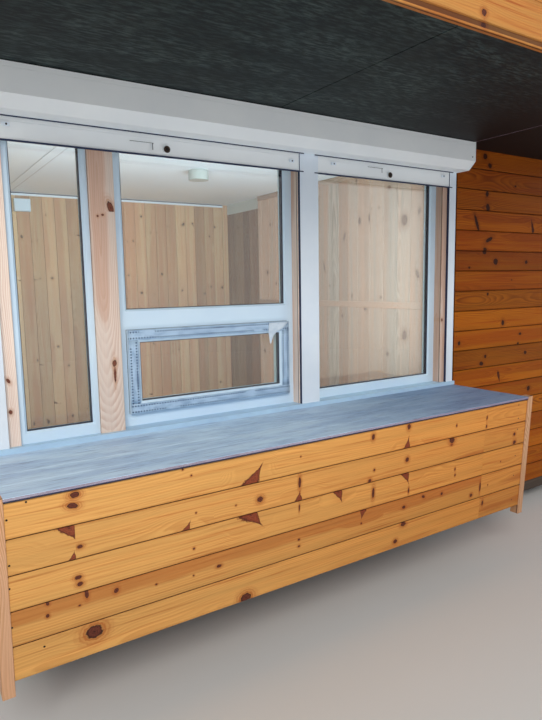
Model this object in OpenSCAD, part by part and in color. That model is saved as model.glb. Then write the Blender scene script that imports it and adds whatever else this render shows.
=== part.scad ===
// Wooden market hut: boarded body on skids, window row with two roller shutters,
// serving counter with a leaning board skirt, and a flat-bottomed front canopy.
// Millimetres. X runs along the front, Y from the customers into the hut, Z up.
// The origin is on the ground, under the middle of the whole outline.
// Inside the modules y = 0 is the face of the front boards.

/* [Body] */
// Length over the boarded end walls
body_length = 3860; // [3500:10:4600]
// Depth over the front and back boards
body_depth = 2880; // [2500:10:3400]
// Height of the soffit and of the ceiling above the ground
ceiling_height = 2240; // [2050:5:2500]
// Thickness of a boarded, framed and lined wall
wall_thick = 120; // [100:5:160]
// Thickness of the outer boards
board_thick = 20; // [15:1:28]
// Height of the lower edge of the outer boards
board_foot = 154; // [100:1:170]

/* [Floor] */
// Height of the three skids that lie on the ground
skid_height = 80; // [50:5:95]
// Width of a skid
skid_width = 120; // [80:5:160]
// Distance from the outer skids to the faces of the walls
skid_inset = 150; // [60:10:400]
// Height of the floor joists and of the two rims
joist_height = 100; // [95:5:160]
// Width of a floor joist
joist_width = 45; // [35:5:60]
// Number of floor joists between the two end rims
joist_count = 5; // [3:1:8]
// Thickness of the floor boards
floor_thick = 20; // [15:1:28]

/* [Partition] */
// Thickness of the boarded partition beside the right window
partition_thick = 90; // [60:5:120]
// Width of the set-back bay beside the back wall
bay_width = 630; // [500:10:800]
// Distance that the boards in the bay are set back
bay_setback = 50; // [20:5:60]
// Thickness of the boarded leaf that closes the bay
bay_leaf_thick = 35; // [20:1:38]
// Height of the pale panel over the bay
lintel_height = 90; // [60:5:200]

/* [Window row] */
// Width of the post at each end of the row
end_post_width = 100; // [80:5:140]
// Width of the wide flat post beside the narrow window
mid_post_width = 100; // [80:5:140]
// Width of the post between the two shutters
center_post_width = 116; // [108:1:140]
// Width of the narrow left window
window_left_width = 300; // [260:5:500]
// Width of the window with the hatch
window_center_width = 875; // [600:5:900]
// Width of the right window
window_right_width = 882; // [600:2:900]
// Height of the underside of the sill
sill_height = 897; // [850:1:950]
// Thickness of the sill
sill_thick = 20; // [12:1:30]
// Distance that the sill stands proud of the boards
sill_nose = 8; // [0:1:20]
// Distance from the ceiling down to the top of the windows
header_drop = 120; // [100:1:135]
// Distance from the face of the boards to the face of the posts
post_setback = 16; // [14:1:30]
// Distance from the face of the boards to the face of the window frames
window_setback = 67; // [60:1:75]
// Distance from the face of the boards to the face of the left window
left_window_setback = 30; // [28:1:60]
// Width of the rebate in the posts that takes the left window
post_rebate = 20; // [8:1:30]

/* [Window profiles] */
// Width of a window frame profile
frame_width = 46; // [40:1:70]
// Depth of a window frame profile
frame_depth = 52; // [50:1:80]
// Slope on the inner edge of a profile
frame_slope = 8; // [3:1:12]
// Distance from the foot of a profile's slope to its glass
glass_step = 2; // [1:0.5:6]
// Thickness of the sealed glass unit
glass_thick = 24; // [16:1:24]
// Depth of the groove that holds the glass
groove_depth = 12; // [6:1:14]
// Gap between the edge of the glass and the bottom of its groove
glass_gap = 0.5; // [0.2:0.1:2]
// Height of the top of the transom over the hatch
transom_top = 1404; // [1350:1:1500]
// Width of the transom
transom_width = 92; // [80:1:110]
// Width of the hatch sash profile
sash_width = 52; // [46:1:60]
// Height that the foot of the frame is built up under the hatch
hatch_rise = 14; // [4:1:40]
// Distance that the sash laps over its frame
sash_lap = 8; // [5:1:12]
// Distance that the sash stands proud of its frame
sash_proud = 21; // [16:1:24]
// Clearance between the sash and the sides of its opening
sash_gap = 3; // [2:0.5:6]
// Depth of the hatch sash
sash_depth = 60; // [56:1:66]

/* [Shutters] */
// Distance from the end of the shutter box to the end of the window row
box_end_gap = 10; // [0:1:30]
// Height of the shutter box
box_height = 140; // [130:1:165]
// Depth of the shutter box, from the header to its face
box_depth = 141; // [130:1:170]
// Size of the sloped lower edge of the box
box_slope = 40; // [25:1:50]
// Gap between the shutter box and the soffit
box_top_gap = 4; // [2:1:10]
// Width of the folded lip along the top of the face
box_lip = 17; // [8:1:25]
// Depth of the fold lines in the sheet of the box
fold_depth = 2; // [1:0.5:4]
// Thickness of the end caps
cap_thick = 5; // [3:1:8]
// Distance that an end cap stands out around the sheet
cap_edge = 1.5; // [1:0.5:3]
// Distance from the end of the box to the outer guides
guide_inset = 2; // [0:1:6]
// Width of a guide rail
guide_width = 53; // [45:1:56]
// Width of the slot that the shutter runs in
slot_width = 10; // [8:1:12]
// Depth of the slot that the shutter runs in
slot_depth = 24; // [15:1:30]
// Distance that the rolled-up shutter hangs below its box
bar_drop = 80; // [50:1:130]
// Thickness of the shutter's end bar
bar_thick = 8; // [6:0.5:9.5]
// Gap between the end of an end bar and the bottom of its slot
bar_end_gap = 2; // [1:0.5:6]
// Height of the slat edge above the lower edge of the shutter
bar_seam = 62; // [55:1:85]
// Diameter of a shutter lock
lock_dia = 28; // [16:1:30]
// Distance that a lock stands proud of the end bar
lock_proud = 6; // [3:1:10]
// Distance from the lower edge of the shutter to its lock
lock_rise = 25; // [20:1:38]

/* [Counter] */
// Distance that the counter runs past the right end of the window row
counter_past = 27; // [0:1:200]
// Reach of the counter top from the boards
counter_reach = 495; // [350:5:600]
// Thickness of the counter top
deck_thick = 15; // [10:1:28]
// Overhang of the counter top over its skirt
deck_nose = 6; // [2:1:20]
// Thickness of the skirt boards
skirt_thick = 18; // [14:1:24]
// Height of the lower edge of the skirt
skirt_foot = 300; // [200:5:450]
// Angle by which the skirt leans back at its foot
skirt_lean = 3.5; // [0:0.5:8]
// Width of the end trims
trim_width = 38; // [30:1:60]
// Depth of the end trims
trim_depth = 45; // [35:1:60]
// Distance that the trims stand proud of the skirt
trim_proud = 5; // [2:1:10]
// Distance that the trims reach below the skirt
trim_drop = 45; // [0:5:80]
// Thickness of the boards that close the counter's ends
end_thick = 18; // [14:1:24]
// Section of the two rails under the counter top
rail_size = 45; // [35:1:60]
// Thickness of a bracket
bracket_thick = 45; // [30:1:60]
// Number of brackets between the ends
bracket_count = 3; // [2:1:5]
// Height of a bracket at the wall
bracket_height = 360; // [200:10:450]
// Height of a bracket's leg above the lower edge of the skirt
leg_rise = 10; // [0:5:60]
// Width of the bracket's arm and of its hanging leg
bracket_arm = 60; // [45:5:90]

/* [Roof] */
// Reach of the canopy from the front boards to the face of its fascia
canopy_reach = 1085; // [600:5:1400]
// Height of a roof joist at the front
rafter_front = 255; // [180:5:320]
// Height of a roof joist at the back
rafter_rear = 120; // [80:5:170]
// Width of a roof joist
rafter_width = 45; // [35:1:60]
// Number of roof joists
rafter_count = 7; // [5:1:9]
// Thickness of the soffit and ceiling panels
panel_thick = 12; // [9:1:18]
// Thickness of the fascia boards
fascia_thick = 20; // [15:1:28]
// Distance that the fascia hangs below the soffit
fascia_drop = 5; // [2:1:20]
// Thickness of the roof boards
roof_board_thick = 20; // [15:1:28]
// Thickness of the roofing felt
felt_thick = 5; // [3:1:8]
// Height of the metal edge over the fascia
edge_height = 55; // [30:5:70]
// Width of the metal edge over the felt
edge_width = 60; // [30:5:90]
// Thickness of the metal edge
edge_thick = 2; // [1:0.5:3]

/* [Door] */
// Distance from the front boards to the door opening
door_start = 960; // [400:10:1200]
// Width of the door opening
door_width = 860; // [700:10:1000]
// Distance from the ceiling down to the top of the door opening
door_header = 90; // [70:5:190]
// Width of the door frame
door_frame_width = 40; // [30:5:60]
// Gap around the door leaf
door_gap = 4; // [2:1:8]
// Thickness of the door leaf
door_thick = 45; // [35:1:55]
// Distance from the face of the boards to the face of the leaf
door_setback = 36; // [34:1:50]
// Height of the door handle above the floor
handle_rise = 960; // [850:10:1100]
// Distance from the edge of the leaf to the middle of the handle plate
plate_inset = 50; // [35:1:80]
// Length of the handle plate
plate_length = 180; // [120:5:240]
// Width of the handle plate
plate_width = 40; // [30:1:60]
// Thickness of the handle plate
plate_thick = 6; // [4:1:10]
// Length of the lever
lever_length = 120; // [90:5:140]
// Diameter of the lever
lever_dia = 18; // [14:1:24]
// Reach of the lever from the leaf to the lever's middle
lever_reach = 44; // [30:1:45]

/* [Corners and fittings] */
// Width of a corner board
corner_width = 90; // [60:5:110]
// Thickness of a corner board
corner_thick = 18; // [12:1:24]
// Diameter of the ceiling lamp
lamp_dia = 130; // [80:5:200]
// Height of the ceiling lamp
lamp_height = 62; // [40:2:100]
// Distance from the left wall's inner face to the lamp
lamp_x = 1510; // [600:10:1900]
// Distance from the front boards to the lamp
lamp_y = 1310; // [600:10:1900]
// Width of the junction box on the back wall
jbox_width = 118; // [80:2:160]
// Height of the junction box
jbox_height = 95; // [60:1:140]
// Depth of the junction box
jbox_depth = 50; // [30:1:80]
// Distance from the left wall's inner face to the junction box
jbox_x = 626; // [200:2:1500]
// Distance from the ceiling down to the top of the junction box
jbox_drop = 53; // [10:1:400]

/* [Hidden] */

// The face of the front boards, with the outline of the roof centred on the origin
front_y = (canopy_reach - body_depth - fascia_thick) / 2;

// Body outline and the inner faces of the walls
half_length = body_length / 2;
inner_left = -half_length + wall_thick;
inner_right = half_length - wall_thick;
inner_back = body_depth - wall_thick;
frame_top = skid_height + joist_height;
floor_top = frame_top + floor_thick;
wall_top = ceiling_height + panel_thick;

// Window row, from left to right
row = [end_post_width, window_left_width, mid_post_width, window_center_width,
       center_post_width, window_right_width, end_post_width];
function run_to(i) = i < 0 ? inner_left : run_to(i - 1) + row[i];
row_end = run_to(6);
sill_top = sill_height + sill_thick;
window_top = ceiling_height - header_drop;
glass_setback = frame_slope + glass_step;

// Shutters
box_top = ceiling_height - box_top_gap;
box_foot = box_top - box_height;
box_left = inner_left;
box_right = row_end - box_end_gap;
box_back = post_setback;
box_face = box_back - box_depth;
post_mid = run_to(3) + center_post_width / 2;
guide_left_x = box_left + guide_inset;
guide_right_x = box_right - guide_inset - guide_width;
slot_front = (post_setback - slot_width) / 2;
bar_front = (post_setback - bar_thick) / 2;
bar_foot = box_foot - bar_drop;

// Counter
inside_left = -half_length + corner_width - corner_thick;
counter_left = inside_left - trim_width;
counter_right = row_end + counter_past;
deck_foot = sill_height - deck_thick;
skirt_y = -counter_reach + deck_nose;
lean = tan(skirt_lean);
function skirt_face(z) = skirt_y + (deck_foot - z) * lean;
inside_right = counter_right - trim_width;

// Fittings that keep their distance from the ceiling
door_top = ceiling_height - door_header;
jbox_top = ceiling_height - jbox_drop;

// Roof
roof_front = -canopy_reach;
roof_back = body_depth + fascia_thick;
rafter_y0 = roof_front + fascia_thick;
rafter_y1 = body_depth;
fascia_foot = ceiling_height - fascia_drop;
roof_pitch = (rafter_front - rafter_rear) / (rafter_y1 - rafter_y0);
// Height of the top of the joists at a distance y from the front boards
function roof_z(y) = wall_top + rafter_front - (y - rafter_y0) * roof_pitch;
roof_half = half_length + fascia_thick;

// Everything is drawn from the face of the front boards
module hut() translate([0, front_y, 0]) children();

// Block between two corners
module block(lo, hi) translate(lo) cube(hi - lo);

// Outline of [y, z] points, drawn out along X
module along_x(x0, x1, outline)
  translate([x0, 0, 0]) rotate([90, 0, 90]) linear_extrude(x1 - x0) polygon(outline);

// Outline of [x, z] points, drawn out along Y
module along_y(y0, y1, outline)
  translate([0, y1, 0]) rotate([90, 0, 0]) linear_extrude(y1 - y0) polygon(outline);

// Outline of [x, y] points, drawn out along Z
module along_z(z0, z1, outline)
  translate([0, 0, z0]) linear_extrude(z1 - z0) polygon(outline);

// Four mitred lengths of one profile around a rectangle in the wall.
// The profile's points are [distance in from the outer edge, distance back].
module mitred_ring(x0, x1, z0, z1, y, depth, width, profile) {
  for (low = [true, false]) {
    edge = low ? z0 : z1;
    way = low ? 1 : -1;
    intersection() {
      along_x(x0, x1, [for (p = profile) [y + p[1], edge + way * p[0]]]);
      along_y(y, y + depth, [[x0, edge], [x1, edge],
        [x1 - width, edge + way * width], [x0 + width, edge + way * width]]);
    }
  }
  for (low = [true, false]) {
    edge = low ? x0 : x1;
    way = low ? 1 : -1;
    intersection() {
      along_z(z0, z1, [for (p = profile) [edge + way * p[0], y + p[1]]]);
      along_y(y, y + depth, [[edge, z0], [edge, z1],
        [edge + way * width, z1 - width], [edge + way * width, z0 + width]]);
    }
  }
}

// Profile of a window frame: sloped face edge, groove for the glass, small inner slope
function frame_profile() = [
  [0, 0], [frame_width - frame_slope, 0], [frame_width, frame_slope],
  [frame_width, glass_setback], [frame_width - groove_depth, glass_setback],
  [frame_width - groove_depth, glass_setback + glass_thick],
  [frame_width, glass_setback + glass_thick],
  [frame_width, frame_depth - frame_slope / 2],
  [frame_width - frame_slope / 2, frame_depth], [0, frame_depth]];

// Profile of the hatch sash: its face laps over the frame, its body drops into the opening
function sash_profile() = [
  [0, 0], [sash_width - frame_slope, 0], [sash_width, frame_slope],
  [sash_width, glass_setback], [sash_width - groove_depth, glass_setback],
  [sash_width - groove_depth, glass_setback + glass_thick],
  [sash_width, glass_setback + glass_thick],
  [sash_width, sash_depth],
  [sash_lap + sash_gap, sash_depth], [sash_lap + sash_gap, sash_proud], [0, sash_proud]];

module window_frame(x0, x1, y = window_setback)
  mitred_ring(x0, x1, sill_top, window_top, y, frame_depth, frame_width, frame_profile());

// The left window stands further forward, in rebates of the posts beside it
left_window_x = [run_to(0) - post_rebate, run_to(1) + post_rebate];

// Wall with its outer boards hanging below the frame, outline for the front side
function wall_outline(foot, top) = [
  [0, foot], [board_thick, foot], [board_thick, frame_top], [wall_thick, frame_top],
  [wall_thick, top], [0, top]];

module skids() {
  mid = (body_depth - skid_width) / 2;
  color("dimgray") hut()
    for (y = [skid_inset, mid, body_depth - skid_inset - skid_width])
      block([-half_length + skid_inset, y, 0],
            [half_length - skid_inset, y + skid_width, skid_height]);
}

// Rims along the front and the back, between the boards of the walls
module floor_rims()
  color("saddlebrown") hut()
    for (y = [board_thick, body_depth - board_thick - joist_width])
      block([-half_length + board_thick, y, skid_height],
            [half_length - board_thick, y + joist_width, frame_top]);

// Joists from rim to rim, with one under each end wall
module floor_joists() {
  x0 = -half_length + board_thick;
  pitch = (body_length - 2 * board_thick - joist_width) / (joist_count + 1);
  rim = board_thick + joist_width;
  color("saddlebrown") hut()
    for (i = [0:joist_count + 1])
      block([x0 + i * pitch, rim, skid_height],
            [x0 + i * pitch + joist_width, body_depth - rim, frame_top]);
}

module floor_boards()
  color("burlywood") hut()
    block([inner_left, wall_thick, frame_top], [inner_right, inner_back, floor_top]);

module front_wall_base()
  color("peru") hut()
    along_x(inner_left, row_end, wall_outline(board_foot, sill_height));

module front_wall_right()
  color("peru") hut() along_x(row_end, inner_right, wall_outline(board_foot, wall_top));

module front_wall_header()
  color("tan") hut()
    block([inner_left, post_setback, window_top], [row_end, wall_thick, wall_top]);

// End walls run past the front and back walls; side -1 is the left end, 1 the right end
module end_wall(side, y0, y1, z0) {
  outer = side * half_length;
  inner = side * (half_length - wall_thick);
  step = side * (half_length - board_thick);
  along_y(y0, y1, z0 > frame_top
    ? [[outer, z0], [inner, z0], [inner, wall_top], [outer, wall_top]]
    : [[outer, board_foot], [step, board_foot], [step, frame_top], [inner, frame_top],
       [inner, wall_top], [outer, wall_top]]);
}

module left_wall() color("peru") hut() end_wall(-1, 0, body_depth, 0);

module right_wall_front() color("peru") hut() end_wall(1, 0, door_start, 0);

module right_wall_rear()
  color("peru") hut() end_wall(1, door_start + door_width, body_depth, 0);

module right_wall_header()
  color("peru") hut() end_wall(1, door_start, door_start + door_width, door_top);

module back_wall() {
  step = body_depth - board_thick;
  color("peru") hut()
    along_x(inner_left, inner_right, [
      [body_depth, board_foot], [step, board_foot], [step, frame_top],
      [inner_back, frame_top], [inner_back, wall_top], [body_depth, wall_top]]);
}

// Angle of two boards around each corner of the body
module corner_boards()
  color("sandybrown") hut()
    for (sx = [-1, 1], back = [false, true]) {
      x = sx * half_length;
      y = back ? body_depth : 0;
      sy = back ? 1 : -1;
      along_z(board_foot, fascia_foot, [
        [x + sx * corner_thick, y + sy * corner_thick],
        [x - sx * (corner_width - corner_thick), y + sy * corner_thick],
        [x - sx * (corner_width - corner_thick), y], [x, y],
        [x, y - sy * (corner_width - corner_thick)],
        [x + sx * corner_thick, y - sy * (corner_width - corner_thick)]]);
    }

module partition()
  color("burlywood") hut()
    block([row_end, wall_thick, floor_top],
          [row_end + partition_thick, inner_back - bay_width, ceiling_height]);

module partition_lintel()
  color("white") hut()
    block([row_end + bay_setback, inner_back - bay_width, ceiling_height - lintel_height],
          [row_end + partition_thick, inner_back, ceiling_height]);

module bay_leaf()
  color("burlywood") hut()
    block([row_end + bay_setback, inner_back - bay_width, floor_top],
          [row_end + bay_setback + bay_leaf_thick, inner_back,
           ceiling_height - lintel_height]);

module window_posts()
  color("wheat") hut()
    difference() {
      for (i = [0, 2, 4, 6])
        block([run_to(i - 1), post_setback, sill_top], [run_to(i), wall_thick, window_top]);
      block([left_window_x[0], left_window_setback, sill_height],
            [left_window_x[1], left_window_setback + frame_depth, window_top + 1]);
    }

module window_sill()
  color("white") hut()
    block([inner_left, -sill_nose, sill_height], [row_end, wall_thick, sill_top]);

module window_frame_left()
  color("white") hut() window_frame(left_window_x[0], left_window_x[1], left_window_setback);

// The transom has the frame's slope and groove on its upper edge, and so has
// the built-up foot under the hatch, without the groove
module window_frame_center() {
  foot = transom_top - transom_width;
  rise_foot = sill_top + frame_width - groove_depth;
  rise_top = sill_top + frame_width + hatch_rise;
  color("white") hut() {
    window_frame(run_to(2), run_to(3));
    difference() {
      along_x(run_to(2) + frame_width - groove_depth, run_to(3) - frame_width + groove_depth,
        [[window_setback, foot], [window_setback, transom_top - frame_slope],
         [window_setback + frame_slope, transom_top],
         [window_setback + frame_depth, transom_top],
         [window_setback + frame_depth, foot]]);
      block([run_to(2), window_setback + glass_setback, transom_top - groove_depth],
            [run_to(3), window_setback + glass_setback + glass_thick, window_top]);
    }
    along_x(run_to(2) + frame_width - groove_depth, run_to(3) - frame_width + groove_depth,
      [[window_setback, rise_foot], [window_setback, rise_top - frame_slope],
       [window_setback + frame_slope, rise_top],
       [window_setback + frame_depth, rise_top],
       [window_setback + frame_depth, rise_foot]]);
  }
}

module window_frame_right() color("white") hut() window_frame(run_to(4), run_to(5));

sash_y = window_setback - sash_proud;
sash_left = run_to(2) + frame_width - sash_lap;
sash_right = run_to(3) - frame_width + sash_lap;
sash_foot = sill_top + frame_width + hatch_rise - sash_lap;
sash_top = transom_top - transom_width + sash_lap;

module hatch_sash()
  color("white") hut()
    mitred_ring(sash_left, sash_right, sash_foot, sash_top, sash_y, sash_depth, sash_width,
      sash_profile());

// One sealed unit in each frame and one in the hatch
module glass_panes() {
  edge = frame_width - groove_depth + glass_gap;
  y = window_setback + glass_setback;
  left_y = left_window_setback + glass_setback;
  sash_edge = sash_width - groove_depth + glass_gap;
  color("lightcyan") hut() {
    block([left_window_x[0] + edge, left_y, sill_top + edge],
          [left_window_x[1] - edge, left_y + glass_thick, window_top - edge]);
    block([run_to(2) + edge, y, transom_top - groove_depth + glass_gap],
          [run_to(3) - edge, y + glass_thick, window_top - edge]);
    block([run_to(4) + edge, y, sill_top + edge],
          [run_to(5) - edge, y + glass_thick, window_top - edge]);
    block([sash_left + sash_edge, sash_y + glass_setback, sash_foot + sash_edge],
          [sash_right - sash_edge, sash_y + glass_setback + glass_thick,
           sash_top - sash_edge]);
  }
}

// Folded sheet outline of the shutter box, grown by g in front of the boards
function box_outline(g) = [
  [box_back, box_foot], [0, box_foot], [0, box_foot - g], [box_face + box_slope - g * tan(22.5), box_foot - g],
  [box_face - g, box_foot + box_slope - g * tan(22.5)],
  [box_face - g, box_top + g], [box_back, box_top + g]];

module shutter_box()
  color("whitesmoke") hut()
    difference() {
      along_x(box_left + cap_thick, box_right - cap_thick, box_outline(0));
      // Fold under the top lip
      block([box_left, box_face - 1, box_top - box_lip - fold_depth],
            [box_right, box_face + fold_depth, box_top - box_lip]);
      // Slot that each shutter hangs out of
      block([guide_left_x + guide_width - slot_depth, slot_front, box_foot - 1],
            [post_mid - guide_width + slot_depth, slot_front + slot_width,
             box_foot + box_slope]);
      block([post_mid + guide_width - slot_depth, slot_front, box_foot - 1],
            [guide_right_x + slot_depth, slot_front + slot_width, box_foot + box_slope]);
    }

module shutter_box_caps()
  color("white") hut()
    for (x = [box_left, box_right - cap_thick])
      along_x(x, x + cap_thick, box_outline(cap_edge));

// Guide rail with its slot open towards the window: way 1 opens to +X, -1 to -X
module guide(x, way) {
  slot_x = way > 0 ? x + guide_width - slot_depth : x;
  difference() {
    block([x, 0, sill_top], [x + guide_width, post_setback, box_foot]);
    block([slot_x - (way < 0 ? 1 : 0), slot_front, sill_top - 1],
          [slot_x + slot_depth + (way > 0 ? 1 : 0), slot_front + slot_width, box_foot + 1]);
  }
}

module guide_rail_left() color("white") hut() guide(guide_left_x, 1);

module guide_rail_center()
  color("white") hut() {
    guide(post_mid - guide_width, -1);
    guide(post_mid, 1);
  }

module guide_rail_right() color("white") hut() guide(guide_right_x, -1);

// Rolled-up shutter: its end bar and the slat above it, with the round lock
module shutter_bar(x0, x1) {
  seam = bar_foot + bar_seam;
  lock_x = (x0 + x1) / 2;
  difference() {
    block([x0, bar_front, bar_foot], [x1, bar_front + bar_thick, box_foot + box_slope]);
    block([x0 - 1, bar_front - 1, seam],
          [x1 + 1, bar_front + fold_depth, seam + fold_depth]);
  }
  translate([lock_x, bar_front + bar_thick / 2, bar_foot + lock_rise]) rotate([90, 0, 0])
    cylinder(h = lock_proud + bar_thick / 2, d = lock_dia, $fn = 32);
}

module shutter_bar_left()
  color("white") hut()
    shutter_bar(guide_left_x + guide_width - slot_depth + bar_end_gap,
                post_mid - guide_width + slot_depth - bar_end_gap);

module shutter_bar_right()
  color("white") hut()
    shutter_bar(post_mid + guide_width - slot_depth + bar_end_gap,
                guide_right_x + slot_depth - bar_end_gap);

module counter_top()
  color("lightslategray") hut()
    block([inside_left, -counter_reach, deck_foot], [inside_right, 0, sill_height]);

// Rail behind the skirt and rail on the wall, both under the counter top
module counter_rails()
  color("burlywood") hut() {
    front = skirt_face(deck_foot - rail_size) + skirt_thick;
    for (y = [front, -rail_size])
      block([inside_left + end_thick, y, deck_foot - rail_size],
            [inside_right - end_thick, y + rail_size, deck_foot]);
  }

// Gusset on the wall with a leg that hangs behind the skirt
module counter_brackets() {
  top = deck_foot - rail_size;
  leg_foot = skirt_foot + leg_rise;
  y0 = skirt_face(top) + skirt_thick;
  foot_y = skirt_face(leg_foot) + skirt_thick;
  pitch = (inside_right - inside_left) / (bracket_count + 1);
  color("burlywood") hut()
    for (i = [1:bracket_count]) {
      x = inside_left + i * pitch - bracket_thick / 2;
      along_x(x, x + bracket_thick, [
        [0, top], [0, top - bracket_height], [-bracket_arm, top - bracket_height],
        [y0 + bracket_arm, top - bracket_arm],
        [foot_y + bracket_arm, leg_foot], [foot_y, leg_foot], [y0, top]]);
    }
}

module counter_skirt()
  color("goldenrod") hut()
    along_x(inside_left, inside_right, [
      [skirt_face(deck_foot), deck_foot], [skirt_face(skirt_foot), skirt_foot],
      [skirt_face(skirt_foot) + skirt_thick, skirt_foot],
      [skirt_face(deck_foot) + skirt_thick, deck_foot]]);

// Boards that close the two ends between the trims and the wall
module counter_ends()
  color("goldenrod") hut()
    for (x = [inside_left, inside_right - end_thick])
      along_x(x, x + end_thick, [
        [skirt_face(deck_foot) + skirt_thick, deck_foot],
        [skirt_face(skirt_foot) + skirt_thick, skirt_foot],
        [0, skirt_foot], [0, deck_foot]]);

// Leaning trims at the ends of the skirt, level with the counter top
module counter_trims() {
  foot = skirt_foot - trim_drop;
  color("wheat") hut()
    for (x = [counter_left, inside_right])
      along_x(x, x + trim_width, [
        [skirt_face(sill_height) - trim_proud, sill_height],
        [skirt_face(foot) - trim_proud, foot],
        [skirt_face(foot) - trim_proud + trim_depth, foot],
        [skirt_face(sill_height) - trim_proud + trim_depth, sill_height]]);
}

// Frame around the opening, with a threshold as high as the floor boards
module door_frame() {
  y1 = door_start + door_width;
  w = door_frame_width;
  color("sienna") hut()
    difference() {
      block([half_length - wall_thick, door_start, frame_top],
            [half_length, y1, door_top]);
      block([half_length - wall_thick - 1, door_start + w, floor_top],
            [half_length + 1, y1 - w, door_top - w]);
    }
}

leaf_face = half_length - door_setback;
leaf_y0 = door_start + door_frame_width + door_gap;
leaf_y1 = door_start + door_width - door_frame_width - door_gap;

module door_leaf()
  color("peru") hut()
    block([leaf_face - door_thick, leaf_y0, floor_top],
          [leaf_face, leaf_y1, door_top - door_frame_width - door_gap]);

// Plate and lever on the outside of the leaf
module door_handle() {
  z = floor_top + handle_rise;
  y = leaf_y0 + plate_inset;
  color("silver") hut() {
    block([leaf_face, y - plate_width / 2, z - plate_length * 0.6],
          [leaf_face + plate_thick, y + plate_width / 2, z + plate_length * 0.4]);
    translate([leaf_face, y, z]) rotate([0, 90, 0])
      cylinder(h = lever_reach, d = lever_dia * 2 / 3, $fn = 24);
    translate([leaf_face + lever_reach, y - lever_dia / 2, z]) rotate([-90, 0, 0])
      cylinder(h = lever_length, d = lever_dia, $fn = 24);
  }
}

module ceiling()
  color("white") hut()
    block([inner_left, wall_thick, ceiling_height], [inner_right, inner_back, wall_top]);

module ceiling_lamp()
  color("white") hut()
    translate([inner_left + lamp_x, lamp_y, ceiling_height - lamp_height])
      cylinder(h = lamp_height, d = lamp_dia, $fn = 48);

module junction_box()
  color("white") hut()
    block([inner_left + jbox_x, inner_back - jbox_depth, jbox_top - jbox_height],
          [inner_left + jbox_x + jbox_width, inner_back, jbox_top]);

module canopy_soffit()
  color("darkslategray") hut()
    block([-half_length, rafter_y0, ceiling_height], [half_length, 0, wall_top]);

// Tapered joists from the back wall to the canopy's fascia
module roof_joists() {
  pitch = (body_length - rafter_width) / (rafter_count - 1);
  color("burlywood") hut()
    for (i = [0:rafter_count - 1]) {
      x = -half_length + i * pitch;
      along_x(x, x + rafter_width, [
        [rafter_y0, wall_top], [rafter_y1, wall_top],
        [rafter_y1, roof_z(rafter_y1)], [rafter_y0, roof_z(rafter_y0)]]);
    }
}

module fascia_front() {
  top = roof_z(roof_front) + roof_board_thick;
  inner_top = roof_z(rafter_y0) + roof_board_thick;
  color("orange") hut()
    along_x(-roof_half, roof_half, [
      [roof_front, fascia_foot], [rafter_y0, fascia_foot],
      [rafter_y0, inner_top], [roof_front, top]]);
}

module fascia_rear() {
  inner_top = roof_z(body_depth) + roof_board_thick;
  top = roof_z(roof_back) + roof_board_thick;
  color("orange") hut()
    along_x(-roof_half, roof_half, [
      [body_depth, fascia_foot], [roof_back, fascia_foot],
      [roof_back, top], [body_depth, inner_top]]);
}

module fascia_sides()
  color("orange") hut()
    for (x = [-roof_half, half_length])
      along_x(x, x + fascia_thick, [
        [rafter_y0, fascia_foot], [body_depth, fascia_foot],
        [body_depth, roof_z(body_depth) + roof_board_thick],
        [rafter_y0, roof_z(rafter_y0) + roof_board_thick]]);

// Band that follows the roof between two distances, from height a to b over the joists
function roof_band(y0, y1, a, b) = [
  [y0, roof_z(y0) + a], [y1, roof_z(y1) + a], [y1, roof_z(y1) + b], [y0, roof_z(y0) + b]];

module roof_boards()
  color("tan") hut()
    along_x(-half_length, half_length, roof_band(rafter_y0, body_depth, 0, roof_board_thick));

felt_foot = roof_board_thick;
felt_top = felt_foot + felt_thick;

module roof_felt()
  color("dimgray") hut()
    along_x(-roof_half, roof_half, roof_band(roof_front, roof_back, felt_foot, felt_top));

// Metal edge: a strip over the felt and a strip down the fascia, on all four sides
module roof_edge() {
  t = edge_thick;
  down = felt_top - edge_height;
  y0 = roof_front - t;
  y1 = roof_back + t;
  color("gray") hut() {
    for (x = [-roof_half - t, roof_half])
      along_x(x, x + t, roof_band(y0, y1, down, felt_top + t));
    for (x = [-roof_half, roof_half - edge_width])
      along_x(x, x + edge_width, roof_band(y0, y1, felt_top, felt_top + t));
    along_x(-roof_half, roof_half, roof_band(y0, roof_front, down, felt_top + t));
    along_x(-roof_half, roof_half, roof_band(roof_back, y1, down, felt_top + t));
    along_x(-roof_half, roof_half,
      roof_band(roof_front, roof_front + edge_width, felt_top, felt_top + t));
    along_x(-roof_half, roof_half,
      roof_band(roof_back - edge_width, roof_back, felt_top, felt_top + t));
  }
}

skids();
floor_rims();
floor_joists();
floor_boards();
front_wall_base();
front_wall_right();
front_wall_header();
left_wall();
right_wall_front();
right_wall_rear();
right_wall_header();
back_wall();
corner_boards();
partition();
partition_lintel();
bay_leaf();
window_posts();
window_sill();
window_frame_left();
window_frame_center();
window_frame_right();
hatch_sash();
glass_panes();
shutter_box();
shutter_box_caps();
guide_rail_left();
guide_rail_center();
guide_rail_right();
shutter_bar_left();
shutter_bar_right();
counter_top();
counter_rails();
counter_brackets();
counter_skirt();
counter_ends();
counter_trims();
door_frame();
door_leaf();
door_handle();
ceiling();
ceiling_lamp();
junction_box();
canopy_soffit();
roof_joists();
fascia_front();
fascia_rear();
fascia_sides();
roof_boards();
roof_felt();
roof_edge();
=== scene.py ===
"""Looks of a wooden market hut: boarded walls with tongued boards, window row with glass,
roller shutters, serving counter with a knotty pine skirt, dark soffit and felt roof.

Metres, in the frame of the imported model: X along the front, Y into the hut, Z up.
"""

import functools
import math

import bpy
import numpy as np
from mathutils import Matrix, Vector


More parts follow.
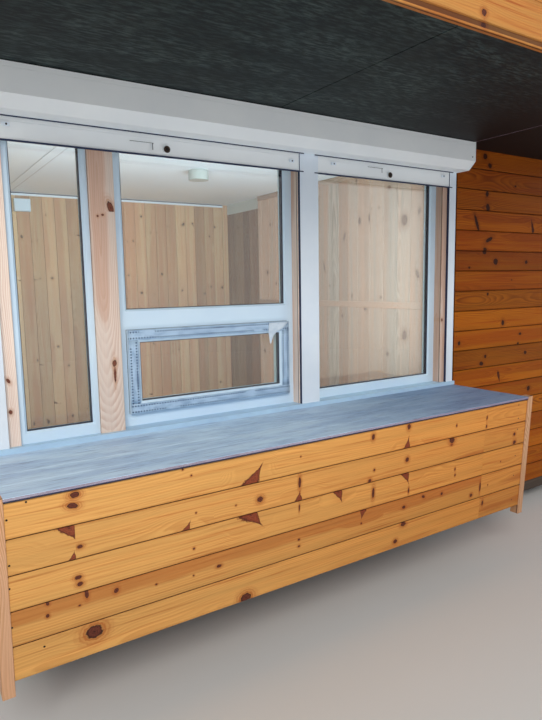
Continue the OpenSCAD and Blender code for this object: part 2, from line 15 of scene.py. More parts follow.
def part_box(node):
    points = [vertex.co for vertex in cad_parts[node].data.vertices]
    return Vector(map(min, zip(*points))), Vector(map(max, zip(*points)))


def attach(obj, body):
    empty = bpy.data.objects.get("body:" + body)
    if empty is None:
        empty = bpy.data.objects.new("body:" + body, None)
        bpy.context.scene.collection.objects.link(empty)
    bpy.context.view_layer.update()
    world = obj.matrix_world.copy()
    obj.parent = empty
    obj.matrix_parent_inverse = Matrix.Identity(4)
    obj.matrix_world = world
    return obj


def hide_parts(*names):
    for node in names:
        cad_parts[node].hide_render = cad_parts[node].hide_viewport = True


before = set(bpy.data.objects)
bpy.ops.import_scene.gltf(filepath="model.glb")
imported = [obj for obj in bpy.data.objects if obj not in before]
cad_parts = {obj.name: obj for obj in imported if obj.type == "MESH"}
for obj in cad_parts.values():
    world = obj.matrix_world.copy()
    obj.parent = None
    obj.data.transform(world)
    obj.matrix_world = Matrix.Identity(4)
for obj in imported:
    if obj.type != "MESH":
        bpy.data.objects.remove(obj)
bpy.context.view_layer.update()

MM = 0.001
X, Y, Z = np.eye(3)


def box(node):
    """Lowest and highest corner of a CAD node."""
    lo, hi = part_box(node)
    return np.array(lo), np.array(hi)


# Camera at the photograph's place, and the picture that it fills
PICTURE = (542, 720)
FOCAL_PIXELS = 593.8
CAMERA_PLACE = (-2.100, -3.2075, 1.500)
CAMERA_YAW, CAMERA_PITCH, CAMERA_ROLL = 32.977, -7.340, 1.006

# Faces of the hut, read from the frame
front_y = box("front_wall_right")[0][1]
back_y = box("back_wall")[1][1]
left_x = box("left_wall")[0][0]
right_x = box("right_wall_front")[1][0]
boards_foot = box("left_wall")[0][2]
boards_top = box("left_wall")[1][2]
inner_front_y = box("ceiling")[0][1]
inner_back_y = box("ceiling")[1][1]
inner_left_x, inner_right_x = box("ceiling")[0][0], box("ceiling")[1][0]
floor_top = box("floor_boards")[1][2]
ceiling_foot = box("ceiling")[0][2]
row_left_x, row_right_x = box("window_sill")[0][0], box("window_sill")[1][0]

# Boards
OUTER_DEPTH = 20 * MM
LINING_DEPTH = 13 * MM
OUTER_ROWS = 18
OUTER_PITCH = (boards_top - boards_foot) / OUTER_ROWS
LINING_PITCH = 96 * MM
# Boards of the partition and of the leaf in its bay, in millimetres
PARTITION_PITCH = 114
FLOOR_PITCH = 132 * MM
DOOR_PITCH = 96.5 * MM
# Cut of the long edges of a planed board
EASE = 2 * MM
# Length of trunk between two boards' places in the grain, so that no two boards are alike
LOT = 9.7


def merged(*parts):
    """Several shapes as one: their points, faces and fields one after another."""
    counts = np.cumsum([0] + [len(part["points"]) for part in parts])
    return {
        "points": np.concatenate([part["points"] for part in parts]),
        "faces": [tuple(np.add(face, start)) for part, start in zip(parts, counts)
                  for face in part["faces"]],
        "fields": {name: (np.concatenate([part["fields"][name][0] for part in parts]), where)
                   for name, (_, where) in parts[0].get("fields", {}).items()},
    }


def piece(name, shape, material, replaces=(), smooth=False):
    """A shape as an object on the hut's one body, with its fields as attributes."""
    mesh = bpy.data.meshes.new(name)
    faces = [[int(i) for i in face] for face in shape["faces"]]
    mesh.from_pydata(shape["points"].tolist(), [], faces)
    for field, (values, where) in shape.get("fields", {}).items():
        attribute = mesh.attributes.new(field, "FLOAT_VECTOR", where)
        attribute.data.foreach_set("vector", np.asarray(values, np.float32).ravel())
    mesh.polygons.foreach_set("use_smooth", [smooth] * len(mesh.polygons))
    mesh.materials.append(material)
    mesh.update()
    made = bpy.data.objects.new(name, mesh)
    bpy.context.scene.collection.objects.link(made)
    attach(made, "root")
    if replaces:
        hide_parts(*replaces)
    return made


# Sections of boards: points (across the board, out from its back), against the clock
def section(width, rows):
    """rows hold, for each point, a share of the width, a distance across and one out."""
    rows = np.array(rows, float)
    across = rows[:, 0] * width[:, None] + rows[:, 1]
    return np.stack([across, np.broadcast_to(rows[:, 2], across.shape)], axis=-1)


def eased(width, depth):
    """Rectangle whose two front edges are cut at 45 degrees."""
    return section(width, [(0, 0, 0), (1, 0, 0), (1, 0, depth - EASE), (1, -EASE, depth),
                           (0, EASE, depth), (0, 0, depth - EASE)])


def tongued(width, depth, gap=3 * MM, ease=4 * MM, reveal=8 * MM):
    """Neighbours touch behind a narrow open joint; the edges beside the joint are eased."""
    half = gap / 2
    back = depth - reveal
    return section(width, [
        (0, 0, 0), (1, 0, 0), (1, 0, back), (1, -half, back), (1, -half, depth - ease),
        (1, -half - ease, depth), (0, half + ease, depth), (0, half, depth - ease),
        (0, half, back), (0, 0, back)])


def close_tongued(width, depth):
    """As tongued, with a joint that is nearly shut."""
    return tongued(width, depth, gap=1.6 * MM, ease=2.5 * MM, reveal=7 * MM)


def scattered_knots(rng, length, width, spacing):
    """Knots in whorls: each stretch of a board has one knot or none, and often a smaller one
    beside it. Rows hold place along and across, half width, half height, tilt and taper."""
    stretches = max(1, round(float(length.max()) / spacing))
    cuts = np.linspace(0, 1, stretches + 1) * length[:, None]
    shape = (len(length), stretches)
    place = (cuts[:, 1:] + cuts[:, :-1]) / 2
    place = place + rng.uniform(-0.25, 0.25, shape) * np.diff(cuts, axis=1)
    wide = width[:, None]

    def knots(chance, small, large, spike):
        """One array of knots, some of them drawn out into spikes that start at an edge."""
        there = rng.random(shape) < chance
        spiked = rng.random(shape) < spike
        height = rng.uniform(small, large, shape) * np.where(spiked, 2.4, 1)
        slim, round_one = rng.uniform(0.25, 0.6, shape), rng.uniform(0.9, 1.6, shape)
        half = height * np.where(spiked, slim, round_one)
        side = np.where(rng.random(shape) < 0.5, 1, -1)
        across = np.where(spiked, wide / 2 - side * (wide / 2 - height * 0.8),
                          wide * rng.uniform(0.12, 0.88, shape))
        tilt = rng.normal(0, 0.3, shape)
        return np.stack([place + rng.normal(0, 8 * MM, shape), across, half * there,
                         height * there, tilt, np.where(spiked, side, 0)], axis=-1)

    return cuts, knots(0.75, 3.5 * MM, 10 * MM, 0.25), knots(0.5, 2 * MM, 5 * MM, 0.1)


def chosen_knots(rows, length):
    """Knots given one by one on one board, in the same six numbers, in millimetres and degrees.
    Knots within 70 mm of each other share a stretch."""
    none = (0, 0, 0, 0, 0, 0)
    rows = sorted(rows) or [none]
    groups = []
    for row in rows:
        if groups and row[0] - groups[-1][0][0] < 70 and len(groups[-1]) < 2:
            groups[-1].append(row)
        else:
            groups.append([row])
    middles = [np.mean([row[0] for row in group]) for group in groups]
    cuts = [0.0] + [(a + b) / 2 * MM for a, b in zip(middles, middles[1:])] + [float(length[0])]
    units = np.array([MM, MM, MM, MM, math.pi / 180, 1])
    first = np.array([[group[0] for group in groups]], float) * units
    second = np.array([[group[1] if len(group) > 1 else none for group in groups]], float) * units
    return np.array([cuts]), first, second


def planks(start, along, out, length, width, depth, section_of=tongued, seed=0, knots=None,
           spacing=0.42, tree=None, tone=None, slope=None, bend=0.0):
    """Boards as one section carried along a straight line, with flat ends.

    Point = start + u along + (section across) x (out x along) + (section out) x out, for every
    board, every cut u along it and every section point at once. The grain field holds the
    place in the board's own trunk, in from its face, and the tree field the middle of the
    growth rings, whose depth changes by slope times the distance to bend, so that the rings
    run out in arches. Face fields hold the two knots of the stretch and the board's tone."""
    start = np.atleast_2d(np.asarray(start, float))
    count = len(start)
    along, out = (np.broadcast_to(np.asarray(d, float), (count, 3)) for d in (along, out))
    across = np.cross(out, along)
    length, width = (np.broadcast_to(np.asarray(s, float), (count,)) for s in (length, width))
    rng = np.random.default_rng(seed)
    lot = (rng.random(count) + np.arange(count) + 0.37 * seed) * LOT % 400
    if knots is None:
        cuts, first, second = scattered_knots(rng, length, width, spacing)
    else:
        cuts, first, second = chosen_knots(knots, length)
    outline = section_of(width, depth)
    corners = outline.shape[1]
    stations = cuts.shape[1]
    points = (start[:, None, None] + along[:, None, None] * cuts[:, :, None, None]
              + across[:, None, None] * outline[:, None, :, :1]
              + out[:, None, None] * outline[:, None, :, 1:])
    grain = np.stack(np.broadcast_arrays(
        (lot[:, None] + cuts)[:, :, None], (outline[..., 0] - width[:, None] / 2)[:, None],
        outline[:, None, :, 1] - depth), axis=-1)

    index = np.arange(count * stations * corners).reshape(count, stations, corners)
    ahead = np.roll(index, -1, axis=2)
    sides = np.stack([index[:, :-1], ahead[:, :-1], ahead[:, 1:], index[:, 1:]], axis=-1)
    faces = [*sides.reshape(-1, 4).tolist(), *index[:, 0, ::-1].tolist(), *index[:, -1].tolist()]

    def on_faces(values):
        """A value of each stretch, on its side faces and on the end faces."""
        values = np.broadcast_to(values, (count, stations - 1, 3))
        sides_too = np.repeat(values[:, :, None], corners, axis=2).reshape(-1, 3)
        return np.concatenate([sides_too, values[:, 0], values[:, -1]]), "FACE"

    trunk = np.array([lot, -width / 2]).T[:, None]
    rings = np.stack([rng.normal(0, 0.5, count) * width, rng.uniform(5, 60, count) * MM,
                      rng.uniform(0.7, 1.4, count)], axis=-1) if tree is None else np.array([tree])
    looks = np.stack([rng.normal(0, 1, count), rng.normal(0, 1, count),
                      rng.uniform(10, 60, count) * MM], axis=-1) if tone is None else np.array([tone])
    if slope is None:
        fall = rng.normal(0, 0.02, count)[:, None] * cuts
    else:
        fall = slope * np.maximum(bend - cuts, 0)
    rings = np.broadcast_to(rings[:, None, None], (*grain.shape[:3], 3)).copy()
    rings[..., 1] += fall[:, :, None]
    fields = {"grain": (grain.reshape(-1, 3), "POINT"), "tree": (rings.reshape(-1, 3), "POINT"),
              "tone": on_faces(looks[:, None])}
    for letter, rows in (("a", first), ("b", second)):
        rows = np.concatenate([rows[..., :2] + trunk, rows[..., 2:]], axis=-1)
        fields["knot_" + letter] = on_faces(rows[..., :3])
        fields["form_" + letter] = on_faces(rows[..., 3:])
    return {"points": points.reshape(-1, 3), "faces": faces, "fields": fields}


def run(total, pitch):
    """Starts and widths of the boards that fill a distance; the last one is ripped to fit."""
    starts = np.arange(0, total - 1e-6, pitch)
    return starts, np.minimum(pitch, total - starts)


def clad(corner, along, out, length, height, depth, pitch, seed, **more):
    """A surface covered with boards: corner is its lower corner at the boards' back."""
    along, out = np.asarray(along, float), np.asarray(out, float)
    rise = np.cross(out, along)
    starts, widths = run(height, pitch)
    return planks(np.asarray(corner) + starts[:, None] * rise, along, out, length, widths, depth,
                  seed=seed, **more)


def leaf_boards(node, pitch, faces, section_of=tongued):
    """Upright boards on both faces of a leaf, each as deep as half of it. faces hold the
    direction that a face looks in and its seed."""
    lo, hi = box(node)
    half = (hi[0] - lo[0]) / 2
    return merged(*(clad((lo[0] + half, hi[1] if out[0] > 0 else lo[1], lo[2]), Z, out, hi[2] - lo[2],
                         hi[1] - lo[1], half, pitch, seed, section_of=section_of)
                    for out, seed in faces))


# Small solids that repeat
def discs(places, out, radius, height, sides, dome=0.25):
    """Round heads: rings of points about the direction out, the last one drawn in and lifted.
    Point = place + out x rise + radius x share x (cos a, sin a) in the plane of the face."""
    places = np.atleast_2d(np.asarray(places, float))
    out = np.asarray(out, float)
    side = np.cross(out, Z if abs(out[2]) < 0.9 else X)
    side /= np.linalg.norm(side)
    up = np.cross(out, side)
    angle = np.arange(sides) * 2 * math.pi / sides
    circle = np.cos(angle)[:, None] * side + np.sin(angle)[:, None] * up
    share = np.array([1, 1, 0.72])
    rise = np.array([0, 1 - dome, 1]) * height
    points = (places[:, None, None] + rise[:, None, None] * out
              + radius * share[:, None, None] * circle)
    index = np.arange(points.size // 3).reshape(len(places), 3, sides)
    ahead = np.roll(index, -1, axis=2)
    quads = np.stack([index[:, :-1], ahead[:, :-1], ahead[:, 1:], index[:, 1:]], axis=-1)
    faces = [*quads.reshape(-1, 4).tolist(), *index[:, 0, ::-1].tolist(), *index[:, -1].tolist()]
    return {"points": points.reshape(-1, 3), "faces": faces, "fields": {}}


def ring(lo, hi, y, profile):
    """Closed frame in the plane of the front: a profile carried round a rectangle with
    mitred corners. Profile points are (distance in from the edge, distance back from y)."""
    profile = np.array(profile, float)
    corners = np.array([(lo[0], lo[1]), (hi[0], lo[1]), (hi[0], hi[1]), (lo[0], hi[1])])
    inward = np.array([(1, 1), (-1, 1), (-1, -1), (1, -1)])
    flat = corners[:, None] + inward[:, None] * profile[None, :, :1]
    depth = np.broadcast_to(y + profile[:, 1], (4, len(profile)))
    points = np.stack([flat[..., 0], depth, flat[..., 1]], axis=-1)
    index = np.arange(4 * len(profile)).reshape(4, len(profile))
    ahead, beside = np.roll(index, -1, axis=0), np.roll(index, -1, axis=1)
    quads = np.stack([index, beside, np.roll(ahead, -1, axis=1), ahead], axis=-1)
    return {"points": points.reshape(-1, 3), "faces": quads.reshape(-1, 4).tolist(), "fields": {}}


def bars(boxes, ease=0.5 * MM):
    """Straight bars, each from its lowest to its highest corner, with four long edges eased:
    an eight-cornered section carried along the bar's longest side."""
    shapes = []
    for lo, hi in np.array(boxes, float):
        size = hi - lo
        axis = int(np.argmax(size))
        one, two = (axis + 1) % 3, (axis + 2) % 3
        cut = min(ease, size[one] / 3, size[two] / 3)
        square = np.array([(0, 0), (1, 0), (1, 1), (0, 1)])
        before = np.array([(0, 1), (-1, 0), (0, -1), (1, 0)]) * cut
        after = np.array([(1, 0), (0, 1), (-1, 0), (0, -1)]) * cut
        base = lo[[one, two]] + square * size[[one, two]]
        outline = np.stack([base + before, base + after], axis=1).reshape(-1, 2)
        points = np.zeros((2, 8, 3))
        points[..., [one, two]] = outline
        points[:, :, axis] = np.array([lo[axis], hi[axis]])[:, None]
        index = np.arange(16).reshape(2, 8)
        ahead = np.roll(index, -1, axis=1)
        quads = np.stack([index[0], ahead[0], ahead[1], index[1]], axis=-1)
        shapes.append({"points": points.reshape(-1, 3), "fields": {},
                       "faces": [*quads.tolist(), index[0, ::-1].tolist(), index[1].tolist()]})
    return merged(*shapes)


# Materials
def linear(code):
    """An sRGB hex colour as linear RGBA."""
    srgb = np.array([int(code[i:i + 2], 16) for i in (1, 3, 5)]) / 255
    rgb = np.where(srgb <= 0.04045, srgb / 12.92, ((srgb + 0.055) / 1.055) ** 2.4)
    return (*rgb.tolist(), 1.0)


def add(tree, kind, *sources, out=0, inputs=None, **settings):
    """Adds one node of a kind, which may be followed by its operation. sources fill its inputs
    in order and inputs names others: a socket is linked, a value is set, None is skipped.
    Gives the output out, or several if it is a tuple."""
    kind, _, operation = kind.partition(" ")
    node = tree.nodes.new("ShaderNode" + kind)
    if operation:
        node.operation = operation
    for name, value in settings.items():
        setattr(node, name, value)
    for key, source in [*enumerate(sources), *(inputs or {}).items()]:
        if isinstance(source, bpy.types.NodeSocket):
            tree.links.new(source, node.inputs[key])
        elif source is not None:
            node.inputs[key].default_value = source
    if isinstance(out, tuple):
        return tuple(node.outputs[i] for i in out)
    return node.outputs[out] if node.outputs else None


def start(name):
    """An empty material and the function that adds nodes to it."""
    material = bpy.data.materials.new(name)
    material.use_nodes = True
    material.node_tree.nodes.clear()
    return material, functools.partial(add, material.node_tree)


def blend(n, share, first, second, mode="MIX"):
    """Two colours mixed by a share from 0 to 1."""
    return n("Mix", data_type="RGBA", blend_type=mode, inputs={0: share, 6: first, 7: second}, out=2)


def ramp(n, value, low, high, least=0.0, most=1.0):
    """A value carried smoothly from low..high to least..most."""
    return n("MapRange", value, low, high, least, most, interpolation_type="SMOOTHSTEP")


def stretched(n, vector, scale, size=1.0, detail=2.0, roughness=0.5):
    """Noise that is drawn out: scale holds its features per metre along the three axes."""
    placed = n("VectorMath MULTIPLY", vector, scale)
    return n("TexNoise", placed, inputs={"Scale": size, "Detail": detail, "Roughness": roughness})


def numbers(n, field):
    """The three numbers that a field of the mesh holds."""
    return n("SeparateXYZ", n("Attribute", attribute_name=field, out=1), out=(0, 1, 2))


def knot_field(n, place, letter):
    """One knot of the stretch: its distance measure, 1 at its edge, how far it pushes the
    growth rings aside, as a stream flows round a post, and how much of a spike it is."""
    u, v, half = numbers(n, "knot_" + letter)
    height, tilt, taper = numbers(n, "form_" + letter)
    offset = n("VectorMath SUBTRACT", place, n("CombineXYZ", u, v, 0.0))
    beside, above = n("SeparateXYZ", offset, out=(0, 1))
    turned = n("VectorRotate", offset, inputs={"Angle": tilt}, rotation_type="Z_AXIS")
    p, q = n("SeparateXYZ", turned, out=(0, 1))
    up = n("Math DIVIDE", q, n("Math MAXIMUM", height, 0.1 * MM))
    spike = n("Math ABSOLUTE", taper)
    drawn = n("Math DIVIDE", n("Math SUBTRACT", 1.0, n("Math MULTIPLY", taper, up)),
              n("Math ADD", 1.0, spike))
    wide = n("Math MULTIPLY", half, n("Math MAXIMUM", drawn, 0.08))
    side = n("Math DIVIDE", p, n("Math MAXIMUM", wide, 0.1 * MM))
    reach = n("VectorMath LENGTH", n("CombineXYZ", side, up, 0.0), out=1)
    core = n("Math MULTIPLY", n("Math MINIMUM", half, height), 1.15)
    away = n("VectorMath LENGTH", n("CombineXYZ", n("Math DIVIDE", beside, 2.6), above, 0.2 * MM), out=1)
    push = n("Math POWER", n("Math DIVIDE", core, away), 2.0)
    push = n("Math MINIMUM", push, 1.0)
    near = ramp(n, n("Math ABSOLUTE", beside), 0.06, 0.16, 1.0, 0.0)
    shift = n("Math MULTIPLY", n("Math MULTIPLY", above, push), near)
    return reach, shift, spike


def pine(name, early, late, heart, knot, spike, bark, halo, ring=6.5 * MM, lines=0.5, tone_spread=0.1,
         red_spread=0.25, rough=0.55, streaks=0.14, amber=0.5, gloss=0.2, fade=None, edges=0.0):
    """Pine from the trunk's own geometry: growth rings about a middle that wanders along the
    board, bent round each knot, with fine fibres, broad streaks and darker heartwood.
    fade is a direction in the hut, two distances along it and a colour that tints the far one;
    edges is how much painted shade darkens a board of the outer width along its two edges."""
    material, n = start(name)
    place = n("Attribute", attribute_name="grain", out=1)
    u, v, depth = n("SeparateXYZ", place, out=(0, 1, 2))
    ring_v, ring_h, ring_scale = numbers(n, "tree")
    light, red, heart_size = numbers(n, "tone")
    flat_place = n("CombineXYZ", u, v, 0.0)
    fields = [knot_field(n, flat_place, letter) for letter in "ab"]

    # Distance from the middle of the trunk, with the rings pushed round the knots
    shifted = n("Math SUBTRACT", n("Math SUBTRACT", v, fields[0][1]), fields[1][1])
    across = n("Math SUBTRACT", shifted, ring_v)
    wander = stretched(n, place, (1.3, 0.0, 0.0), detail=1.0)
    wander = n("MapRange", wander, 0.2, 0.8, -0.04, 0.04)
    deep = n("Math ADD", n("Math ADD", ring_h, wander), depth)
    radius = n("VectorMath LENGTH", n("CombineXYZ", across, deep, 0.0), out=1)
    ripple = stretched(n, place, (3.0, 16.0, 16.0), detail=2.0)
    radius = n("Math ADD", radius, n("MapRange", ripple, 0.2, 0.8, -5 * MM, 5 * MM))
    pitch = n("Math MULTIPLY", ring_scale, ring)
    year = n("Math FRACT", n("Math DIVIDE", radius, pitch))
    summer = n("Math MULTIPLY", ramp(n, year, 0.1, 0.85), ramp(n, year, 0.88, 1.0, 1.0, 0.0))

    # Fibres and streaks
    fibre = stretched(n, place, (6.0, 300.0, 300.0), detail=3.0, roughness=0.6)
    streak = stretched(n, place, (0.9, 34.0, 34.0), detail=3.0, roughness=0.55)
    vein = stretched(n, place, (1.8, 90.0, 90.0), detail=3.0, roughness=0.6)
    patch = stretched(n, place, (2.2, 16.0, 16.0), detail=2.0)
    lines_here = n("Math MULTIPLY", ramp(n, patch, 0.3, 0.7, 0.3 * lines, 1.6 * lines), summer)
    colour = blend(n, lines_here, linear(early), linear(late))
    edge = n("Math SUBTRACT", radius, heart_size)
    inner = ramp(n, n("Math ADD", edge, n("MapRange", streak, 0.2, 0.8, -10 * MM, 10 * MM)),
                 -6 * MM, 8 * MM, 0.6, 0.0)
    colour = blend(n, inner, colour, linear(heart))
    reddish = n("Math MULTIPLY", n("MapRange", red, -2.0, 2.0, 0.0, 2 * red_spread),
                ramp(n, streak, 0.35, 0.65, 0.4, 1.4))
    reddish = n("Math ADD", reddish, ramp(n, vein, 0.5, 0.78, 0.0, amber), use_clamp=True)
    colour = blend(n, reddish, colour, linear(heart))
    shade = n("Math ADD", n("Math MULTIPLY", light, tone_spread), 1.0)
    shade = n("Math ADD", shade, n("MapRange", streak, 0.2, 0.8, -streaks, streaks))
    shade = n("Math ADD", shade, n("MapRange", patch, 0.2, 0.8, -0.07, 0.07))
    shade = n("Math ADD", shade, n("MapRange", fibre, 0.2, 0.8, -0.08, 0.08))
    # Painted shade along the two long edges of a board, beside its joints
    if edges:
        outer = ramp(n, n("Math ABSOLUTE", v), OUTER_PITCH / 2 - 14 * MM, OUTER_PITCH / 2, 0.0, edges)
        shade = n("Math SUBTRACT", shade, outer)
    colour = n("VectorMath SCALE", colour, inputs={"Scale": shade})

    # Knots: a halo of resin, a ringed core, redder where it is drawn out, and a dark rim
    frayed = stretched(n, place, (90.0, 90.0, 0.0), detail=3.0)
    rough_edge = n("MapRange", frayed, 0.2, 0.8, -0.22, 0.22)
    grit = stretched(n, place, (260.0, 260.0, 0.0), detail=2.0)
    masks = []
    for reach, _, drawn in fields:
        edge = n("Math ADD", reach, rough_edge)
        glow = ramp(n, edge, 0.9, n("MapRange", drawn, 0.0, 1.0, 3.0, 1.25), 0.8, 0.0)
        band = n("Math SINE", n("Math MULTIPLY", edge, 11.0))
        glow = n("Math MULTIPLY", glow, n("MapRange", band, -1.0, 1.0, 0.45, 1.15))
        colour = blend(n, glow, colour, linear(halo))
        waves = n("Math SINE", n("Math MULTIPLY", edge, 24.0))
        dark = n("Math ADD", n("MapRange", waves, -1.0, 1.0, -0.1, 0.4),
                 n("MapRange", grit, 0.3, 0.7, -0.2, 0.45))
        dark = n("Math ADD", dark, ramp(n, edge, 0.0, 0.35, 0.45, 0.0), use_clamp=True)
        core = blend(n, drawn, linear(knot), linear(spike))
        softer = n("MapRange", drawn, 0.0, 1.0, 1.0, 0.8)
        core = blend(n, n("Math MULTIPLY", dark, softer), core, linear(bark))
        rim = n("Math MULTIPLY", ramp(n, edge, 0.62, 0.95, 0.0, 0.85), softer)
        core = blend(n, rim, core, linear(bark))
        mask = ramp(n, edge, 0.9, 1.16, 1.0, 0.0)
        colour = blend(n, mask, colour, core)
        masks.append(mask)
    if fade:
        along, near, far, tint = fade
        share = n("VectorMath DOT_PRODUCT", n("TexCoord", out=3), along, out=1)
        tinted = blend(n, 1.0, colour, linear(tint), "MULTIPLY")
        colour = blend(n, ramp(n, share, near, far), colour, tinted)

    # Dirt and shade in the open joint between two boards
    joint = n("Math MULTIPLY", ramp(n, depth, -5.4 * MM, -3.6 * MM, 1.0, 0.0),
              ramp(n, depth, -10 * MM, -8.6 * MM))
    colour = blend(n, n("Math MULTIPLY", joint, 0.82), colour, linear(bark))
    height = n("Math ADD", n("Math MULTIPLY", fibre, 0.6), summer)
    height = n("Math SUBTRACT", height, n("Math ADD", *masks))
    normal = n("Bump", inputs={"Strength": 0.35, "Distance": 0.5 * MM, "Height": height})
    sheen = n("MapRange", fibre, 0.2, 0.8, rough - 0.08, rough + 0.1)
    shader = n("BsdfPrincipled", inputs={"Base Color": colour, "Roughness": sheen, "Normal": normal,
                                         "Specular IOR Level": gloss})
    n("OutputMaterial", shader)
    return material


def surface(name, colours, scale, rough, relief=0.0, grain=(1, 1, 1), metal=0.0):
    """A finish whose colour wanders between two near shades; scale is in features per metre."""
    material, n = start(name)
    place = n("TexCoord", out=3)
    cloud = stretched(n, place, grain, size=scale, detail=4.0, roughness=0.6)
    share = n("MapRange", cloud, 0.25, 0.75)
    colour = blend(n, share, linear(colours[0]), linear(colours[1]))
    gloss = n("MapRange", cloud, 0.25, 0.75, rough - 0.05, rough + 0.05)
    sockets = {"Base Color": colour, "Roughness": gloss, "Metallic": metal}
    if relief:
        fine = stretched(n, place, grain, size=scale * 9, detail=3.0)
        sockets["Normal"] = n("Bump", inputs={"Strength": 0.5, "Distance": relief, "Height": fine})
    n("OutputMaterial", n("BsdfPrincipled", inputs=sockets))
    return material


def sawn_timber(name, along, light="#C3A075", dark="#9A7650"):
    """Sawn spruce: fibres and saw marks drawn out along one axis of the frame."""
    material, n = start(name)
    place = n("TexCoord", out=3)
    fine = np.full(3, 240.0)
    fine[along] = 5.0
    broad = np.full(3, 30.0)
    broad[along] = 0.8
    fibre = stretched(n, place, tuple(fine), detail=3.0)
    streak = stretched(n, place, tuple(broad), detail=3.0)
    colour = blend(n, n("MapRange", streak, 0.3, 0.7), linear(light), linear(dark))
    shade = n("MapRange", fibre, 0.2, 0.8, 0.82, 1.12)
    colour = n("VectorMath SCALE", colour, inputs={"Scale": shade})
    normal = n("Bump", inputs={"Strength": 0.5, "Distance": 0.6 * MM, "Height": fibre})
    n("OutputMaterial", n("BsdfPrincipled", inputs={"Base Color": colour, "Roughness": 0.75,
                                                    "Normal": normal}))
    return material


def window_glass():
    """Clear float glass. Lamps and bounced light pass it as through an open window, so that
    the room behind it is lit; what is seen through it is bent and mirrored as by real glass."""
    material, n = start("clear_float_glass")
    smudge = stretched(n, n("TexCoord", out=3), (3.0, 3.0, 3.0), detail=3.0)
    gloss = n("MapRange", smudge, 0.45, 0.8, 0.0, 0.03)
    solid = n("BsdfPrincipled", inputs={"Base Color": linear("#F4FAF8"), "Roughness": gloss, "IOR": 1.5,
                                        "Transmission Weight": 1.0})
    clear = n("BsdfTransparent", linear("#EAF3F1"))
    paths = n("LightPath", out=(1, 2))
    n("OutputMaterial", n("MixShader", n("Math MAXIMUM", *paths), solid, clear))
    return material


# Planed and stained pine, as on the skirt: golden orange, satin, knots red brown to nearly
# black, paler towards the open left end and deeper towards the right
golden_pine = pine("pine_golden_stain", "#DCA65F", "#B87C40", "#B1662E", "#6E3828", "#93492F", "#331816",
                   "#A85C2A", ring=8 * MM, lines=0.3, rough=0.5, tone_spread=0.06, red_spread=0.16,
                   streaks=0.17, amber=0.85, edges=0.13, fade=((1, 0, 0), -1.7, 0.7, "#F0D8B4"))
# The same boards on the walls under an older, browner coat, darkened towards the top as painted shade under
# the canopy
brown_pine = pine("pine_brown_stain", "#B66A15", "#7D3E07", "#883E06", "#45200F", "#5E2812", "#200E08",
                  "#82400A", rough=0.5, tone_spread=0.17, red_spread=0.26, lines=0.65, streaks=0.24,
                  amber=0.7, gloss=0.1, edges=0.1, fade=((0, 0, 1), 1.15, 2.15, "#EEDAC8"))
# Planed spruce and pine with no finish: the posts of the windows and the trims of the counter
bare_pine = pine("pine_planed_bare", "#E6D6CA", "#C9A998", "#CC9F86", "#8A5240", "#A0604A", "#4A2A22",
                 "#C89C80", rough=0.6, tone_spread=0.05, red_spread=0.1, lines=0.5, streaks=0.08, amber=0.2)
# Trims of the counter, the same wood after some weather
trim_pine = pine("pine_planed_aged", "#D8AA88", "#B98A5E", "#BC7F52", "#7E4A38", "#A0604A", "#4A2A22",
                 "#B98458", rough=0.6, tone_spread=0.06, red_spread=0.1, lines=0.7, streaks=0.08, amber=0.3)
# Pale lining boards, unfinished, greyer towards the floor as painted shade
lining_pine = pine("pine_lining_bare", "#D4BA92", "#B4976E", "#B88C6A", "#7A5A42", "#8E6A4C", "#4E3A2A",
                   "#AD8A62", rough=0.65, tone_spread=0.1, red_spread=0.6, lines=0.5, streaks=0.16,
                   amber=0.5, fade=((0, 0, -1), -1.7, -1.3, "#F4F4FC"))
# Boards of the bay: the lining boards made darker as painted shade in the bay
shaded_bay_pine = pine("pine_lining_painted_shade", "#9A846A", "#7E6650", "#80604A", "#5E4432", "#6E503A", "#3A2A20",
                "#86684A", rough=0.65, tone_spread=0.1, red_spread=0.6, lines=0.5, streaks=0.2, amber=0.5)
# The same boards on the partition, planed later and still pale
partition_pine = pine("pine_partition_bare", "#AA9B8D", "#8A7B6E", "#A38470", "#8C7060", "#7E5844",
                      "#43322A", "#8C6F5E", rough=0.65, tone_spread=0.07, red_spread=0.5, lines=0.7,
                      streaks=0.17, amber=0.6)
# Floor boards, unfinished
floor_pine = pine("pine_floor_bare", "#C6A173", "#A57B4B", "#A87848", "#69402A", "#7E5034", "#3E281E",
                  "#A0703F", rough=0.6)
# Rough boards and studs, seen only at their edges
timber_x, timber_y, timber_z = (sawn_timber("spruce_sawn_" + "xyz"[i], i) for i in range(3))
# Timbers near the ground, darkened as painted shade under the boards
shade_dark_timber_x, shade_dark_timber_y = (sawn_timber("spruce_painted_shade_" + "xy"[i], i, "#4E4034", "#332A23") for i in range(2))
# Frame of the door, in the stain of the walls
stained_z = sawn_timber("pine_frame_stained", 2, "#A9611F", "#7E3E12")
# Extruded rigid PVC: smooth, white with a faint blue that is a painted cast of skylit shade, low gloss
white_pvc = surface("pvc_extruded_white", ("#DBF0FF", "#CFE7FC"), 3.0, 0.32)
# The sill is of the same PVC, duller, and a little darker and bluer as painted shade
shaded_sill_pvc = surface("pvc_sill_painted_shade", ("#BCDCF2", "#ACCAE4"), 5.0, 0.4)
# Rolled aluminium sheet with a baked white coat: a little greyer, finely rippled
white_sheet = surface("aluminium_coated_white", ("#F6FAFB", "#EEF3F6"), 4.0, 0.42, relief=0.05 * MM)
# Guides and bars: the same coat on extrusions, where it is smoother, with a bluer tint that is a painted
# cast of skylit shade
white_guides = surface("aluminium_extruded_white", ("#E9F2FB", "#DEEAF6"), 6.0, 0.38)
# Matt white lining panel
white_panel = surface("panel_white_matt", ("#EAF5FF", "#E0EDFB"), 2.0, 0.6)
# The panel over the bay, a greyer sheet
grey_panel = surface("panel_grey_matt", ("#C2CAC8", "#B6BEBC"), 2.0, 0.6)
# Back of the film, where it has come off
film_back = surface("film_white_back", ("#DCE9F4", "#BFD1E2"), 40.0, 0.4)
